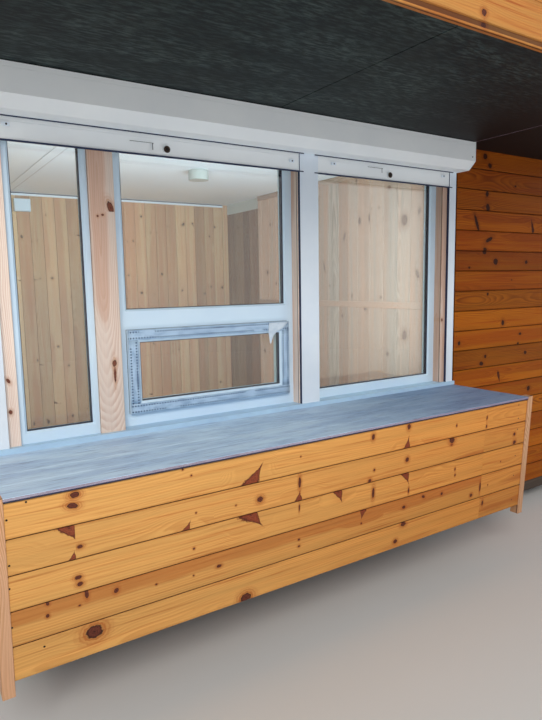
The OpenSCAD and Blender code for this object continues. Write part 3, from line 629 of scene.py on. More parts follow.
# Cut edge of plywood, its layers stained lilac and brown by rain
ply_edge = surface("plywood_edge_weathered", ("#A394AC", "#74504E"), 60.0, 0.7, grain=(0.12, 1, 3.5))
# Butyl spacer and rubber seals: nearly black with a blue cast; the same dark is also painted shadow in the
# gaps under the ceiling and under the deck's front edge
dark_seal_and_shadow = surface("rubber_seal_and_shadow_dark", ("#1C2A48", "#141E36"), 30.0, 0.55)
# Seals of the shutters: rubber that reads dark blue beside the white coat; the strip under the box also
# stands in as painted shadow of the slot there
navy_seal_and_shadow = surface("rubber_seal_navy_and_shadow", ("#1E2E55", "#172445"), 30.0, 0.5)
# Locks and screws: black passivated steel
black_steel = surface("steel_blackened", ("#1E1A19", "#2A2523"), 60.0, 0.42, metal=0.6)
# Old brown grease and tarnish on the rings of the locks
brown_brass = surface("brass_tarnished", ("#4A3626", "#2B1F18"), 120.0, 0.45, metal=0.5)
satin_steel = surface("steel_satin", ("#A8A8A5", "#969693"), 60.0, 0.34, metal=1.0, grain=(1, 1, 8))
# Opal acrylic cover of the lamp
opal = surface("acrylic_opal_grey", ("#A8AFAB", "#9EA5A1"), 6.0, 0.3)
# Anthracite coated steel flashing
dark_steel = surface("steel_coated_anthracite", ("#3A3D40", "#33363A"), 3.0, 0.45)
glass = window_glass()


def soffit_paint():
    """Thin anthracite paint on strand board: short raised streaks, a little greener and paler
    where the paint is worn, and nearly black towards the right end as painted shade."""
    material, n = start("plywood_painted_anthracite")
    place = n("TexCoord", out=3)
    fine = stretched(n, place, (22.0, 90.0, 1.0), detail=4.0, roughness=0.65)
    broad = stretched(n, place, (3.0, 9.0, 1.0), detail=3.0)
    share = n("Math MULTIPLY", ramp(n, fine, 0.4, 0.7), ramp(n, broad, 0.3, 0.75, 0.25, 1.0))
    colour = blend(n, share, linear("#151D1F"), linear("#4A5855"))
    dark_end_shade = n("MapRange", n("SeparateXYZ", place), -0.4, 0.6, 0.0, 0.93, interpolation_type="SMOOTHSTEP")
    colour = blend(n, dark_end_shade, colour, linear("#090405"))
    normal = n("Bump", inputs={"Strength": 0.5, "Distance": 0.8 * MM, "Height": fine})
    n("OutputMaterial", n("BsdfPrincipled", inputs={"Base Color": colour, "Roughness": 0.62,
                                                    "Normal": normal, "Specular IOR Level": 0.25}))
    return material


def deck_paint():
    """Pale grey paint on plywood, tinted blue as a painted cast of skylit shade, weathered: long
    streaks of bare grey grain, scuffs and worn edges."""
    material, n = start("plywood_grey_weathered")
    place = n("TexCoord", out=3)
    fine = stretched(n, place, (9.0, 150.0, 1.0), detail=4.0, roughness=0.65)
    broad = stretched(n, place, (2.6, 12.0, 1.0), detail=4.0, roughness=0.65)
    scuff = stretched(n, place, (7.0, 7.0, 1.0), detail=5.0, roughness=0.7)
    colour = blend(n, ramp(n, broad, 0.35, 0.65), linear("#D3EAFF"), linear("#B8D2F0"))
    worn = n("Math MULTIPLY", ramp(n, fine, 0.48, 0.7), ramp(n, broad, 0.3, 0.7, 0.3, 1.0))
    colour = blend(n, worn, colour, linear("#8499B8"))
    colour = blend(n, ramp(n, scuff, 0.6, 0.8, 0.0, 0.35), colour, linear("#EAF1F8"))
    # Painted shade: darker towards the right end, under the canopy
    right_end_shade = n("MapRange", n("SeparateXYZ", place), -1.0, 0.5, interpolation_type="SMOOTHSTEP")
    colour = blend(n, right_end_shade, colour, blend(n, 1.0, colour, linear("#A8B2C4"), "MULTIPLY"))
    normal = n("Bump", inputs={"Strength": 0.4, "Distance": 0.5 * MM, "Height": fine})
    n("OutputMaterial", n("BsdfPrincipled", inputs={"Base Color": colour, "Roughness": 0.55,
                                                    "Normal": normal}))
    return material


def film():
    """Thin protective film on a profile: pale blue grey with cloudy blisters and two rows of
    plain dashes, broken into groups, about 9 mm in from both edges of the strip. The real dashes
    are 4 mm long, too fine for the picture, so these are 6 mm."""
    material, n = start("film_protective_blue")
    along, across, _ = numbers(n, "strip")
    place = n("CombineXYZ", along, across, 0.0)
    cloud = stretched(n, place, (18.0, 50.0, 1.0), detail=4.0, roughness=0.6)
    colour = blend(n, ramp(n, cloud, 0.38, 0.72), linear("#B3CEE7"), linear("#8DA9C8"))
    middle = n("Math ABSOLUTE", n("Math SUBTRACT", across, 21.75 * MM))
    from_row = n("Math ABSOLUTE", n("Math SUBTRACT", middle, 12.25 * MM))
    step = n("Math FRACT", n("Math DIVIDE", along, 12 * MM))
    block = stretched(n, place, (6.0, 14.0, 1.0), detail=1.0)
    dash = n("Math MULTIPLY", n("Math LESS_THAN", from_row, 3.2 * MM),
             n("Math LESS_THAN", step, 0.5))
    dash = n("Math MULTIPLY", dash, ramp(n, block, 0.36, 0.4, 0.0, 0.95))
    smear = n("Math MULTIPLY", ramp(n, from_row, 3 * MM, 4.5 * MM, 1.0, 0.0),
              ramp(n, block, 0.66, 0.7, 0.0, 0.6))
    colour = blend(n, n("Math MAXIMUM", dash, smear), colour, linear("#3C5478"))
    normal = n("Bump", inputs={"Strength": 0.5, "Distance": 0.3 * MM, "Height": cloud})
    n("OutputMaterial", n("BsdfPrincipled", inputs={"Base Color": colour, "Roughness": 0.25,
                                                    "Normal": normal, "Coat Weight": 0.3}))
    return material


def felt():
    """Bitumen felt with slate chips, torched on in lengths of one metre that lap by 80 mm: a
    bead of bare bitumen along each lap, and water marks that are wider than the chips."""
    material, n = start("bitumen_felt_mineral")
    place = n("TexCoord", out=3)
    chips = stretched(n, place, (90.0, 90.0, 90.0), detail=6.0, roughness=0.6)
    marks = stretched(n, place, (1.6, 2.6, 1.0), detail=4.0, roughness=0.6)
    colour = blend(n, n("MapRange", chips, 0.25, 0.75), linear("#505254"), linear("#2C2E30"))
    colour = blend(n, ramp(n, marks, 0.42, 0.7, 0.0, 0.35), colour, linear("#5E5F5E"))
    shown = 0.92
    lap = n("Math DIVIDE", n("SeparateXYZ", place, out=1), shown)
    from_lap = n("Math SUBTRACT", n("Math FRACT", lap), 0.5)
    edge = n("Math MULTIPLY", n("Math ABSOLUTE", from_lap), shown)
    ragged = n("Math ADD", edge, n("MapRange", marks, 0.3, 0.7, -4 * MM, 4 * MM))
    bead = ramp(n, ragged, 7 * MM, 11 * MM, 1.0, 0.0)
    colour = blend(n, bead, colour, linear("#151618"))
    normal = n("Bump", inputs={"Strength": 0.5, "Distance": 1.2 * MM, "Height": chips})
    n("OutputMaterial", n("BsdfPrincipled", inputs={"Base Color": colour, "Normal": normal,
                                                    "Roughness": n("MapRange", bead, 0.0, 1.0, 0.9, 0.5)}))
    return material


dark_soffit = soffit_paint()
grey_deck = deck_paint()
blue_film = film()
roof_felt = felt()


# Outer boards of the four walls. Knots of the wall right of the windows, by row from the
# foot: distance from the window row, distance up, half length and half width of the core,
# tilt and taper
WALL_KNOTS = {
    17: [(234, 73, 14, 12, 0, 0), (279, 25, 12, 10, 20, 0)],
    16: [(527, 42, 6, 4, 0, 0)],
    15: [(262, 97, 9, 13, 15, 0), (272, 18, 12, 17, -20, 0)],
    14: [(175, 42, 8, 38, -24, 0), (712, 48, 14, 36, -17, 1)],
    13: [(290, 66, 24, 8, -24, 0), (256, 8, 12, 9, 20, 0)],
    12: [(117, 19, 6, 5, 0, 0), (251, 108, 13, 8, 0, 0), (358, 55, 15, 14, 0, 0), (663, 53, 10, 8, 0, 0)],
    11: [(520, 60, 3, 3, 0, 0)],
    10: [(292, 95, 6, 7, 0, 0)],
    9: [(446, 31, 10, 12, 0, 0)],
    8: [(43, 47, 8, 9, 0, 0), (607, 8, 8, 5, 0, 0), (625, 69, 9, 6, 0, 0)],
    7: [(286, 67, 8, 8, 0, 0), (250, 26, 14, 9, 10, 0), (687, 60, 11, 8, 0, 0)],
    6: [(424, 42, 13, 30, -17, -1)],
    5: [(736, 53, 11, 12, 0, 0)],
}
# The whole knot against its core
WALL_KNOT_SIZE = 1.3


def wall_boards():
    """Rows of boards at one height all round, cut at the windows and at the door."""
    length, depth = right_x - left_x, back_y - front_y
    sill_foot = box("window_sill")[0][2]
    face_y = front_y + OUTER_DEPTH
    height = boards_top - boards_foot

    def rows_of(corner, along, out, long, high, seed):
        """Boards of a stretch of wall, from its lower corner."""
        return clad(corner, along, out, long, high, OUTER_DEPTH, OUTER_PITCH, seed)

    right = []
    for row in range(OUTER_ROWS):
        knots = WALL_KNOTS.get(row)
        if knots:
            knots = [(u, v, WALL_KNOT_SIZE * a, WALL_KNOT_SIZE * b, *form)
                     for u, v, a, b, *form in knots]
        right.append(planks((row_right_x, face_y, boards_foot + row * OUTER_PITCH), X, -Y,
                            right_x - row_right_x, OUTER_PITCH, OUTER_DEPTH, seed=100 + row,
                            knots=knots))
    below = rows_of((left_x, face_y, boards_foot), X, -Y, row_right_x - left_x, sill_foot - boards_foot, 2)
    left = rows_of((left_x + OUTER_DEPTH, back_y, boards_foot), -Y, -X, depth, height, 3)
    back = rows_of((right_x, back_y - OUTER_DEPTH, boards_foot), -X, Y, length, height, 4)
    door_lo, door_hi = box("door_frame")
    face_x = right_x - OUTER_DEPTH
    before = rows_of((face_x, front_y, boards_foot), Y, X, door_lo[1] - front_y, height, 5)
    after = rows_of((face_x, door_hi[1], boards_foot), Y, X, back_y - door_hi[1], height, 6)
    over = rows_of((face_x, door_lo[1], door_hi[2]), Y, X, door_hi[1] - door_lo[1],
                   boards_top - door_hi[2], 7)
    for name, shape, replaced in (
            ("front_boards", merged(*right, below), ["front_wall_right", "front_wall_base"]),
            ("left_boards", left, ["left_wall"]),
            ("back_boards", back, ["back_wall"]),
            ("right_boards", merged(before, after, over),
             ["right_wall_front", "right_wall_rear", "right_wall_header"])):
        piece(name, shape, brown_pine, replaced)


def corner_trims():
    """Two planed boards at each corner, one lapping the other."""
    lo, hi = box("corner_boards")
    width, thick = 90 * MM, 18 * MM
    parts = []
    for number, (x, sx) in enumerate([(left_x, -1), (right_x, 1)]):
        for y, sy in [(front_y, -1), (back_y, 1)]:
            edge = x + sx * thick
            start_x = edge if sx * sy < 0 else edge - sx * width
            parts.append(planks((start_x, y, lo[2]), Z, (0, sy, 0), hi[2] - lo[2], width, thick,
                                eased, seed=20 + 2 * number + (sy > 0)))
            side = width - thick
            start_y = y if sx * sy > 0 else y - sy * side
            parts.append(planks((x, start_y, lo[2]), Z, (sx, 0, 0), hi[2] - lo[2], side, thick,
                                eased, seed=30 + 2 * number + (sy > 0)))
    piece("corner_trims", merged(*parts), brown_pine, ["corner_boards"])


wall_boards()
corner_trims()


# Frame and lining inside the walls
def wall_frame():
    """Plates along the foot and head of each wall and studs at its ends, between the outer
    boards and the lining."""
    foot, top = boards_foot, boards_top
    a, b = OUTER_DEPTH, LINING_DEPTH
    fy0, fy1 = front_y + a, inner_front_y - b
    by0, by1 = inner_back_y + b, back_y - a
    lx0, lx1 = left_x + a, inner_left_x - b
    rx0, rx1 = inner_right_x + b, right_x - a
    door_lo, door_hi = box("door_frame")
    sill_foot = box("window_sill")[0][2]
    plate, stud, spacing = 45 * MM, 45 * MM, 0.6
    ceiling_top = box("ceiling")[1][2]
    boxes = []
    for z0, z1 in ((foot, foot + plate), (ceiling_top - plate, ceiling_top)):
        boxes += [((lx0, by0, z0), (rx1, by1, z1)), ((lx0, fy1, z0), (lx1, by0, z1))]
        boxes += [((rx0, door_hi[1], z0), (rx1, by0, z1))]
    boxes += [((rx0, fy1, foot), (rx1, door_lo[1], foot + plate)),
              ((rx0, fy1, door_hi[2]), (rx1, door_hi[1], door_hi[2] + plate)),
              ((lx0, fy0, foot), (rx1, fy1, foot + plate)),
              ((lx1, fy0, sill_foot - plate), (row_right_x, fy1, sill_foot)),
              ((row_right_x, fy0, boards_top - 2 * plate), (rx1, fy1, boards_top - plate))]
    for x in (lx0, row_right_x + b, (row_right_x + rx1) / 2, rx1 - stud):
        top_z = sill_foot - plate if x < row_right_x else boards_top - 2 * plate
        boxes.append(((x, fy0, foot + plate), (x + stud, fy1, top_z)))
    for x in np.arange(lx0, rx1 - stud, spacing):
        boxes.append(((x, by0, foot + plate), (x + stud, by1, top - plate)))
    for y in np.arange(fy1 + spacing / 2, by0 - stud, spacing):
        boxes.append(((lx0, y, foot + plate), (lx1, y + stud, top - plate)))
    piece("wall_frame", bars(boxes), timber_z)


# Edges of the partition's boards along Y, in millimetres, as far as the window shows them
PARTITION_CUTS = [-787.5, -656.5, -551.5, -435.5, -313.5, -187.5, -63.5, 36.5, 141.5]
# Their knots: board, then height over the floor, distance across, half length, half width, tilt, taper
PARTITION_KNOTS = {
    1: [(1719, 35, 16, 8, 10, 0), (1342, 44, 22, 9, -25, 0)],
    2: [(1678, 53, 30, 22, 0, 0), (960, 42, 26, 17, 0, 0)],
    3: [(825, 77, 10, 9, 0, 0), (1896, 71, 12, 11, 0, 0), (1930, 25, 10, 8, 0, 0)],
    5: [(1116, 45, 8, 11, 0, 0), (1711, 106, 19, 11, 0, 0), (1721, 9, 22, 6, 0, 0)],
    6: [(1200, 60, 14, 5, 0, 0), (1987, 15, 14, 6, 0, 0)],
    7: [(1616, 41, 24, 8, 20, 0), (1059, 65, 10, 9, 0, 0)],
    9: [(1414, 51, 25, 7, -15, 0)],
}
# The partition's boards are paler from this Y on
PALE_FROM = 0.65
# Heights of the feet of its two rails
RAIL_FEET = (2200 * MM, 1325 * MM)


def lining():
    """Upright lining boards on the inside of the walls and on both sides of the partition."""
    z0, tall = floor_top, ceiling_foot - floor_top
    deep = LINING_DEPTH
    part_lo, part_hi = box("partition")
    depth_inside = inner_back_y - inner_front_y
    sill_foot = box("window_sill")[0][2]

    def wall(corner, out, wide, seed, high=tall, foot=z0):
        """Upright boards from a lower corner, side by side, with close joints."""
        return clad((*corner, foot), Z, out, high, wide, deep, LINING_PITCH, seed, spacing=0.5,
                    section_of=close_tongued)

    back = wall((inner_right_x, inner_back_y + deep), -Y, inner_right_x - inner_left_x, 41)
    left = wall((inner_left_x - deep, inner_back_y), X, depth_inside, 42)
    low = wall((inner_left_x, inner_front_y - deep), Y, row_right_x - inner_left_x, 43, sill_foot - z0)
    front = wall((row_right_x, inner_front_y - deep), Y, inner_right_x - row_right_x, 44)
    door_lo, door_hi = box("door_frame")
    right_a = wall((inner_right_x + deep, inner_front_y), -X, door_lo[1] - inner_front_y, 45)
    right_b = wall((inner_right_x + deep, door_hi[1]), -X, inner_back_y - door_hi[1], 46)
    right_c = wall((inner_right_x + deep, door_lo[1]), -X, door_hi[1] - door_lo[1], 47,
                   ceiling_foot - door_hi[2], door_hi[2])
    piece("lining_boards", merged(back, left, low, front, right_a, right_b, right_c), lining_pine)
    part_end = part_hi[1] / MM
    more = np.arange(PARTITION_CUTS[-1] + PARTITION_PITCH, part_end - 40, PARTITION_PITCH)
    cuts = np.array([*PARTITION_CUTS, *more, part_end]) * MM
    room = [planks((part_lo[0] + deep, y, z0), Z, -X, tall, wide, deep, close_tongued, seed=480 + i,
                   knots=PARTITION_KNOTS.get(i), spacing=0.5,
                   tone=(5.5 + i % 3, 0.5, 0.02) if y > PALE_FROM else None)
            for i, (y, wide) in enumerate(zip(cuts, np.diff(cuts)))]
    part_depth = part_hi[1] - part_lo[1]
    store = clad((part_hi[0] - deep, part_hi[1], z0), Z, X, tall, part_depth, deep,
                 PARTITION_PITCH * MM, 49, spacing=0.5, section_of=close_tongued)
    end = planks((part_hi[0] - deep, part_hi[1] - deep, z0), Z, Y, tall,
                 part_hi[0] - part_lo[0] - 2 * deep, deep, eased, seed=50)
    rail_heights = (part_hi[2] - RAIL_FEET[0], 42 * MM)
    rails = [planks((part_lo[0], part_hi[1], z), -Y, -X, part_depth, high, 3 * MM, eased,
                    seed=51 + i, knots=[])
             for i, (z, high) in enumerate(zip(RAIL_FEET, rail_heights))]
    piece("partition_boards", merged(*room, store, end, *rails), partition_pine,
          ["partition"])
    bay = leaf_boards("bay_leaf", PARTITION_PITCH * MM, ((-X, 53), (X, 54)), close_tongued)
    piece("bay_boards", bay, shaded_bay_pine, ["bay_leaf"])

    # Where the walls meet the ceiling: a narrow white strip under a dark gap, and the cover
    # strip over a joint of the ceiling. The gaps are dark bars, painted shadow
    cover_left, cover_right, gap_right = -1262 * MM, -1204 * MM, -1199 * MM
    strips = [((inner_left_x, inner_back_y - 5 * MM, ceiling_foot - 24 * MM),
               (part_lo[0], inner_back_y, ceiling_foot - 7 * MM)),
              ((cover_left, inner_front_y, ceiling_foot - 4 * MM),
               (cover_right, inner_back_y, ceiling_foot))]
    piece("ceiling_strips", bars(strips, 1 * MM), white_panel)
    gaps = [((inner_left_x, inner_back_y - 3 * MM, ceiling_foot - 7 * MM),
             (part_lo[0], inner_back_y, ceiling_foot)),
            ((cover_right, inner_front_y, ceiling_foot - 1 * MM), (gap_right, inner_back_y, ceiling_foot))]
    piece("ceiling_gap_shadows", bars(gaps, 0.2 * MM), dark_seal_and_shadow)


wall_frame()
lining()


def floor():
    """Floor boards along the hut, cut between the walls."""
    lo, hi = box("floor_boards")
    boards = clad(lo, X, Z, hi[0] - lo[0], hi[1] - lo[1], hi[2] - lo[2], FLOOR_PITCH, 60)
    piece("floor_planks", boards, floor_pine, ["floor_boards"])


floor()


# Window row
def posts():
    """Planed posts of the window row, with the knots that show on their outer faces."""
    lo, hi = box("window_posts")
    left, centre, right = (box("window_frame_" + part) for part in ("left", "center", "right"))
    hidden = 20 * MM
    ends = [(lo[0], left[0][0] + hidden), (left[1][0] - hidden, centre[0][0]),
            (centre[1][0], right[0][0]), (right[1][0], hi[0])]
    knots = [
        [(131, 30, 8, 6, 0, 0), (247, 30, 5, 10, 60, 0)],
        [(278, 33, 13, 8, 10, 0), (238, 33, 34, 5, 0, 0), (852, 70, 4, 4, 0, 0), (857, 50, 4, 5, 0, 0),
         (886, 18, 24, 11, -20, 0)],
        [(420, 60, 6, 5, 0, 0)],
        [(359, 90, 9, 6, 0, 0), (907, 38, 9, 7, 0, 0)],
    ]
    trees = [(0.01, 0.03, 0.8), (0.014, 0.012, 1.2), (0.06, 0.05, 0.7), (0.02, 0.02, 0.9)]
    near, far = hi[1] - left[1][1], hi[1] - left[0][1]

    def rebated(width, depth, side):
        """Eased post with a groove for the left window in one side."""
        inward = hidden if side == 0 else -hidden
        groove = [(side, 0, near), (side, inward, near), (side, inward, far), (side, 0, far)]
        rows = [(0, 0, 0), (1, 0, 0), *(groove if side else []), (1, 0, depth - EASE),
                (1, -EASE, depth), (0, EASE, depth), (0, 0, depth - EASE),
                *([] if side else groove[::-1])]
        return section(width, rows)

    sections = [functools.partial(rebated, side=0), functools.partial(rebated, side=1), eased, eased]
    tones = [(4.2, -2.4, 0.0), (0.4, 0.3, 0.03), (3.0, -1.0, 0.02), (-0.4, 0.8, 0.04)]
    slopes = [0.0, 0.17, 0.02, 0.03]
    made = [planks((x1, hi[1], lo[2]), Z, -Y, hi[2] - lo[2], x1 - x0, hi[1] - lo[1], sections[i],
                   seed=70 + i, knots=knots[i], tree=trees[i], tone=tones[i], slope=slopes[i],
                   bend=0.56)
            for i, (x0, x1) in enumerate(ends)]
    piece("row_posts", merged(*made), bare_pine, ["window_posts"])


def panes():
    """Each sealed unit as two sheets, with a spacer between their edges and a seal on both
    faces. A unit lies behind the slope of its profile and reaches 11.5 mm into its groove."""
    bead, behind = 11.5 * MM, 10 * MM
    sash_lo, sash_hi = box("hatch_sash")
    frame_width, sash_width, sash_lap = 46 * MM, 52 * MM, 8 * MM
    transom_foot = sash_hi[2] - sash_lap
    holes = [(*box("window_frame_" + name), frame_width) for name in ("left", "right", "center")]
    holes[2][0][2] = transom_foot + frame_width
    holes.append((sash_lo, sash_hi, sash_width))
    sheets, spacers, seals = [], [], []
    for lo, hi, width in holes:
        rim, y = width - bead, lo[1] + behind
        low, high = (lo[0] + rim, lo[2] + rim), (hi[0] - rim, hi[2] - rim)
        for front in (0, 20 * MM):
            sheets.append(((low[0], y + front, low[1]), (high[0], y + front + 4 * MM, high[1])))
        spacers.append(ring(low, high, y, [(5 * MM, 4.2 * MM), (13.5 * MM, 4.2 * MM),
                                           (13.5 * MM, 19.8 * MM), (5 * MM, 19.8 * MM)]))
        for side, way in ((0, -1), (24 * MM, 1)):
            inner, outer = side + way * 0.1 * MM, side + way * 1.8 * MM
            profile = [(bead - 2 * MM, inner), (bead + 2.5 * MM, inner),
                       (bead + 1.2 * MM, outer), (bead - 2 * MM, outer)]
            seals.append(ring(low, high, y, profile if way > 0 else profile[::-1]))
    piece("glass_sheets", bars(sheets, 0.6 * MM), glass, ["glass_panes"])
    piece("glass_spacers", merged(*spacers), dark_seal_and_shadow)
    past = 1.2 * MM
    gap = ring((sash_lo[0] - past, sash_lo[2] - past), (sash_hi[0] + past, sash_hi[2] + past),
               box("window_frame_center")[0][1],
               [(0, -1.5 * MM), (6 * MM, -1.5 * MM), (6 * MM, 0.5 * MM), (0, 0.5 * MM)])
    piece("glass_seals", merged(*seals, gap), dark_seal_and_shadow)


posts()
panes()


def film_strips():
    """Film on the four sides of the hatch sash: thin sheets with a slight swell, and a torn
    flap that hangs from the top right corner.
    Height over the sash = 0.3 mm + swell x sin products of place along and across."""
    lo, hi = box("hatch_sash")
    y = lo[1]
    wide = 43 * MM
    strips = [((lo[0], hi[2]), (1, 0), (0, -1), hi[0] - lo[0], 1.0),
              ((lo[0], lo[2] + wide), (1, 0), (0, -1), hi[0] - lo[0], 2.0),
              ((lo[0] + wide, lo[2] + wide), (0, 1), (-1, 0), hi[2] - lo[2] - 2 * wide, 3.0),
              ((hi[0], lo[2] + wide), (0, 1), (-1, 0), hi[2] - lo[2] - 2 * wide, 4.0)]
    parts = []
    for origin, along, across, length, lot in strips:
        steps = max(6, int(length / 0.03))
        s, t = np.meshgrid(np.linspace(0, 1, steps), np.linspace(0, 1, 7), indexing="ij")
        a, c = s * length, t * wide
        x = origin[0] + along[0] * a + across[0] * c
        z = origin[1] + along[1] * a + across[1] * c
        swell = 0.25 * MM * (1 + np.sin(a * 31 + lot) * np.sin(c * 210 + lot * 2 + a * 9))
        points = np.stack([x, y - 0.3 * MM - swell, z], axis=-1).reshape(-1, 3)
        index = np.arange(s.size).reshape(s.shape)
        quads = np.stack([index[:-1, :-1], index[:-1, 1:], index[1:, 1:], index[1:, :-1]], axis=-1)
        if along[0] * across[1] - along[1] * across[0] < 0:
            quads = quads[..., ::-1]
        field = np.stack([a + lot, c, 0 * a], axis=-1).reshape(-1, 3)
        parts.append({"points": points, "faces": quads.reshape(-1, 4).tolist(),
                      "fields": {"strip": (field, "POINT")}})
    made = piece("sash_film", merged(*parts), blue_film, smooth=True)
    # Torn corner: rows from the sash's top edge down to a tip, between a left and a right edge,
    # lifted by a sine along and across
    s, t = np.meshgrid(np.linspace(0, 1, 15), np.linspace(0, 1, 9), indexing="ij")
    z = hi[2] - 3 * MM - s * 98 * MM
    left = hi[0] - np.interp(s, [0, 0.4, 1], [0.112, 0.118, 0.112])
    right = hi[0] - np.interp(s, [0, 0.3, 0.42, 0.6, 1], [0.006, 0.03, 0.064, 0.088, 0.108])
    crease = 0.8 * MM * np.sin(s * 14) * np.sin(t * 9)
    lift = 1.2 * MM + 3 * MM * np.sin(math.pi * t) * s + 5 * MM * s ** 2 + crease
    points = np.stack([left + t * (right - left), y - lift, z], axis=-1).reshape(-1, 3)
    index = np.arange(s.size).reshape(s.shape)
    quads = np.stack([index[:-1, :-1], index[1:, :-1], index[1:, 1:], index[:-1, 1:]], axis=-1)
    torn = {"points": points, "faces": quads.reshape(-1, 4).tolist()}
    flap = piece("film_flap", torn, film_back, smooth=True)
    for sheet in (made, flap):
        sheet.modifiers.new("thickness", "SOLIDIFY").thickness = 0.15 * MM


film_strips()


# Counter
SKIRT_ROWS = 5
SKIRT_DEPTH = 18 * MM
# Width of a skirt board in millimetres, and so the place of its lower edge
LOW = 116.6
TRIM_WIDTH, TRIM_DEPTH, TRIM_PROUD = 38 * MM, 45 * MM, 5 * MM
TRIM_TONES = [(0.2, 1.2, 0.0), (-2.2, 0.2, 0.0)]
# Knots of the skirt, board by board from the top, the long part and then the short part:
# distance from the left end, distance down, half width, half height, tilt and taper
SKIRT_KNOTS = [
    [[(204, 17, 14, 10, 0, 0), (196, 51, 16, 9, 14, 0), (567, 6, 3, 3, 0, 0), (599, 33, 3, 3, 0, 0),
      (843, LOW, 64, 82, 32, 1), (1065, 49, 3, 3, 0, 0), (1441, 30, 8, 12, 0, 0), (1651, 17, 9, 12, 0, 0),
      (1647, LOW, 40, 52, 8, 1), (1969, 59, 4, 6, 0, 0)],
     [(2190, 53, 5, 8, 0, 0), (2190, 97, 6, 7, 0, 0)]],
    [[(182, 0, 58, 50, -22, -1), (191, LOW, 28, 30, 8, 1), (213, 75, 9, 6, 0, 0), (577, LOW, 28, 38, 27, 1),
      (616, 58, 3, 3, 0, 0), (777, 67, 3, 3, 0, 0), (881, 67, 12, 11, 0, 0), (1063, 38, 6, 21, 0, 0),
      (1061, LOW, 40, 44, 5, 1), (1432, 107, 8, 8, 0, 0), (1456, 63, 5, 5, 0, 0),
      (1652, 52, 10, 10, 0, 0), (1944, 10, 16, 14, 0, 0), (1943, 32, 7, 5, 0, 0)],
     [(2425, 56, 9, 8, 0, 0), (2431, 101, 11, 10, 0, 0)]],
    [[(203, 61, 10, 7, 0, 0), (208, 85, 9, 7, 0, 0), (607, 74, 4, 4, 0, 0), (840, 0, 60, 76, -42, -1),
      (1064, 26, 3, 13, 0, 0), (1262, 0, 44, 52, -21, -1), (1456, 50, 7, 22, 0, 0),
      (1649, 0, 44, 52, -22, -1), (1672, 85, 4, 12, 0, 0), (1980, 44, 4, 7, 0, 0), (1983, 74, 4, 6, 0, 0)],
     [(2330, 70, 3, 3, 0, 0)]],
    [[(108, 5, 5, 5, 0, 0), (106, 44, 5, 6, 0, 0), (228, 10, 6, 14, 0, 0), (204, 42, 4, 3, 0, 0),
      (324, 28, 7, 9, 30, 0), (464, 50, 4, 3, 0, 0), (605, 60, 3, 3, 0, 0), (707, 53, 9, 6, 0, 0),
      (1066, 45, 5, 4, 0, 0), (1067, 74, 5, 4, 0, 0), (1403, 0, 34, 40, 13, -1), (1395, 58, 4, 4, 0, 0),
      (1648, 43, 9, 7, 0, 0), (1772, 20, 10, 6, 30, 0), (1897, 33, 7, 7, 0, 0), (2114, 88, 9, 8, 0, 0),
      (2180, 58, 5, 22, 0, 0)],
     [(2240, 60, 3, 3, 0, 0)]],
    [[(248, 34, 27, 22, 0, 0), (823, 101, 22, 17, 0, 0), (1605, 81, 11, 9, 0, 0), (1651, 9, 14, 9, 0, 0)],
     [(2209, 34, 6, 12, 0, 0)]],
]
# Screws of the skirt: distance from the left end, board, distance down the board
SKIRT_SCREWS = [(63, 0, 9), (7, 0, 53), (6, 1, 80), (2, 2, 37), (2, 3, 48), (91, 4, 28),
                (2440, 0, 20), (2446, 0, 92), (2447, 1, 34), (2449, 2, 60), (2451, 3, 52), (2452, 4, 70)]
# Middle of the rings (aside, deep, pitch) and tone (lightness, redness, heart size)
SKIRT_TREES = [[(0.07, 0.05, 1.1), (0.0, 0.05, 1.0)], [(-0.05, 0.04, 1.0), (0.01, 0.03, 1.0)],
               [(0.06, 0.03, 1.2), (0.0, 0.06, 0.9)], [(0.06, 0.03, 1.15), (0.0, 0.03, 1.1)],
               [(-0.04, 0.05, 1.0), (-0.01, 0.03, 1.0)]]
SKIRT_TONES = [[(1.0, -1.2, 0.0), (0.4, -1.0, 0.0)], [(0.3, -0.6, 0.01), (-0.4, -0.2, 0.02)],
               [(0.6, -1.0, 0.0), (0.3, -1.0, 0.0)], [(-0.6, -0.6, 0.055), (0.2, -0.8, 0.02)],
               [(0.4, -1.0, 0.0), (-0.8, 0.8, 0.03)]]


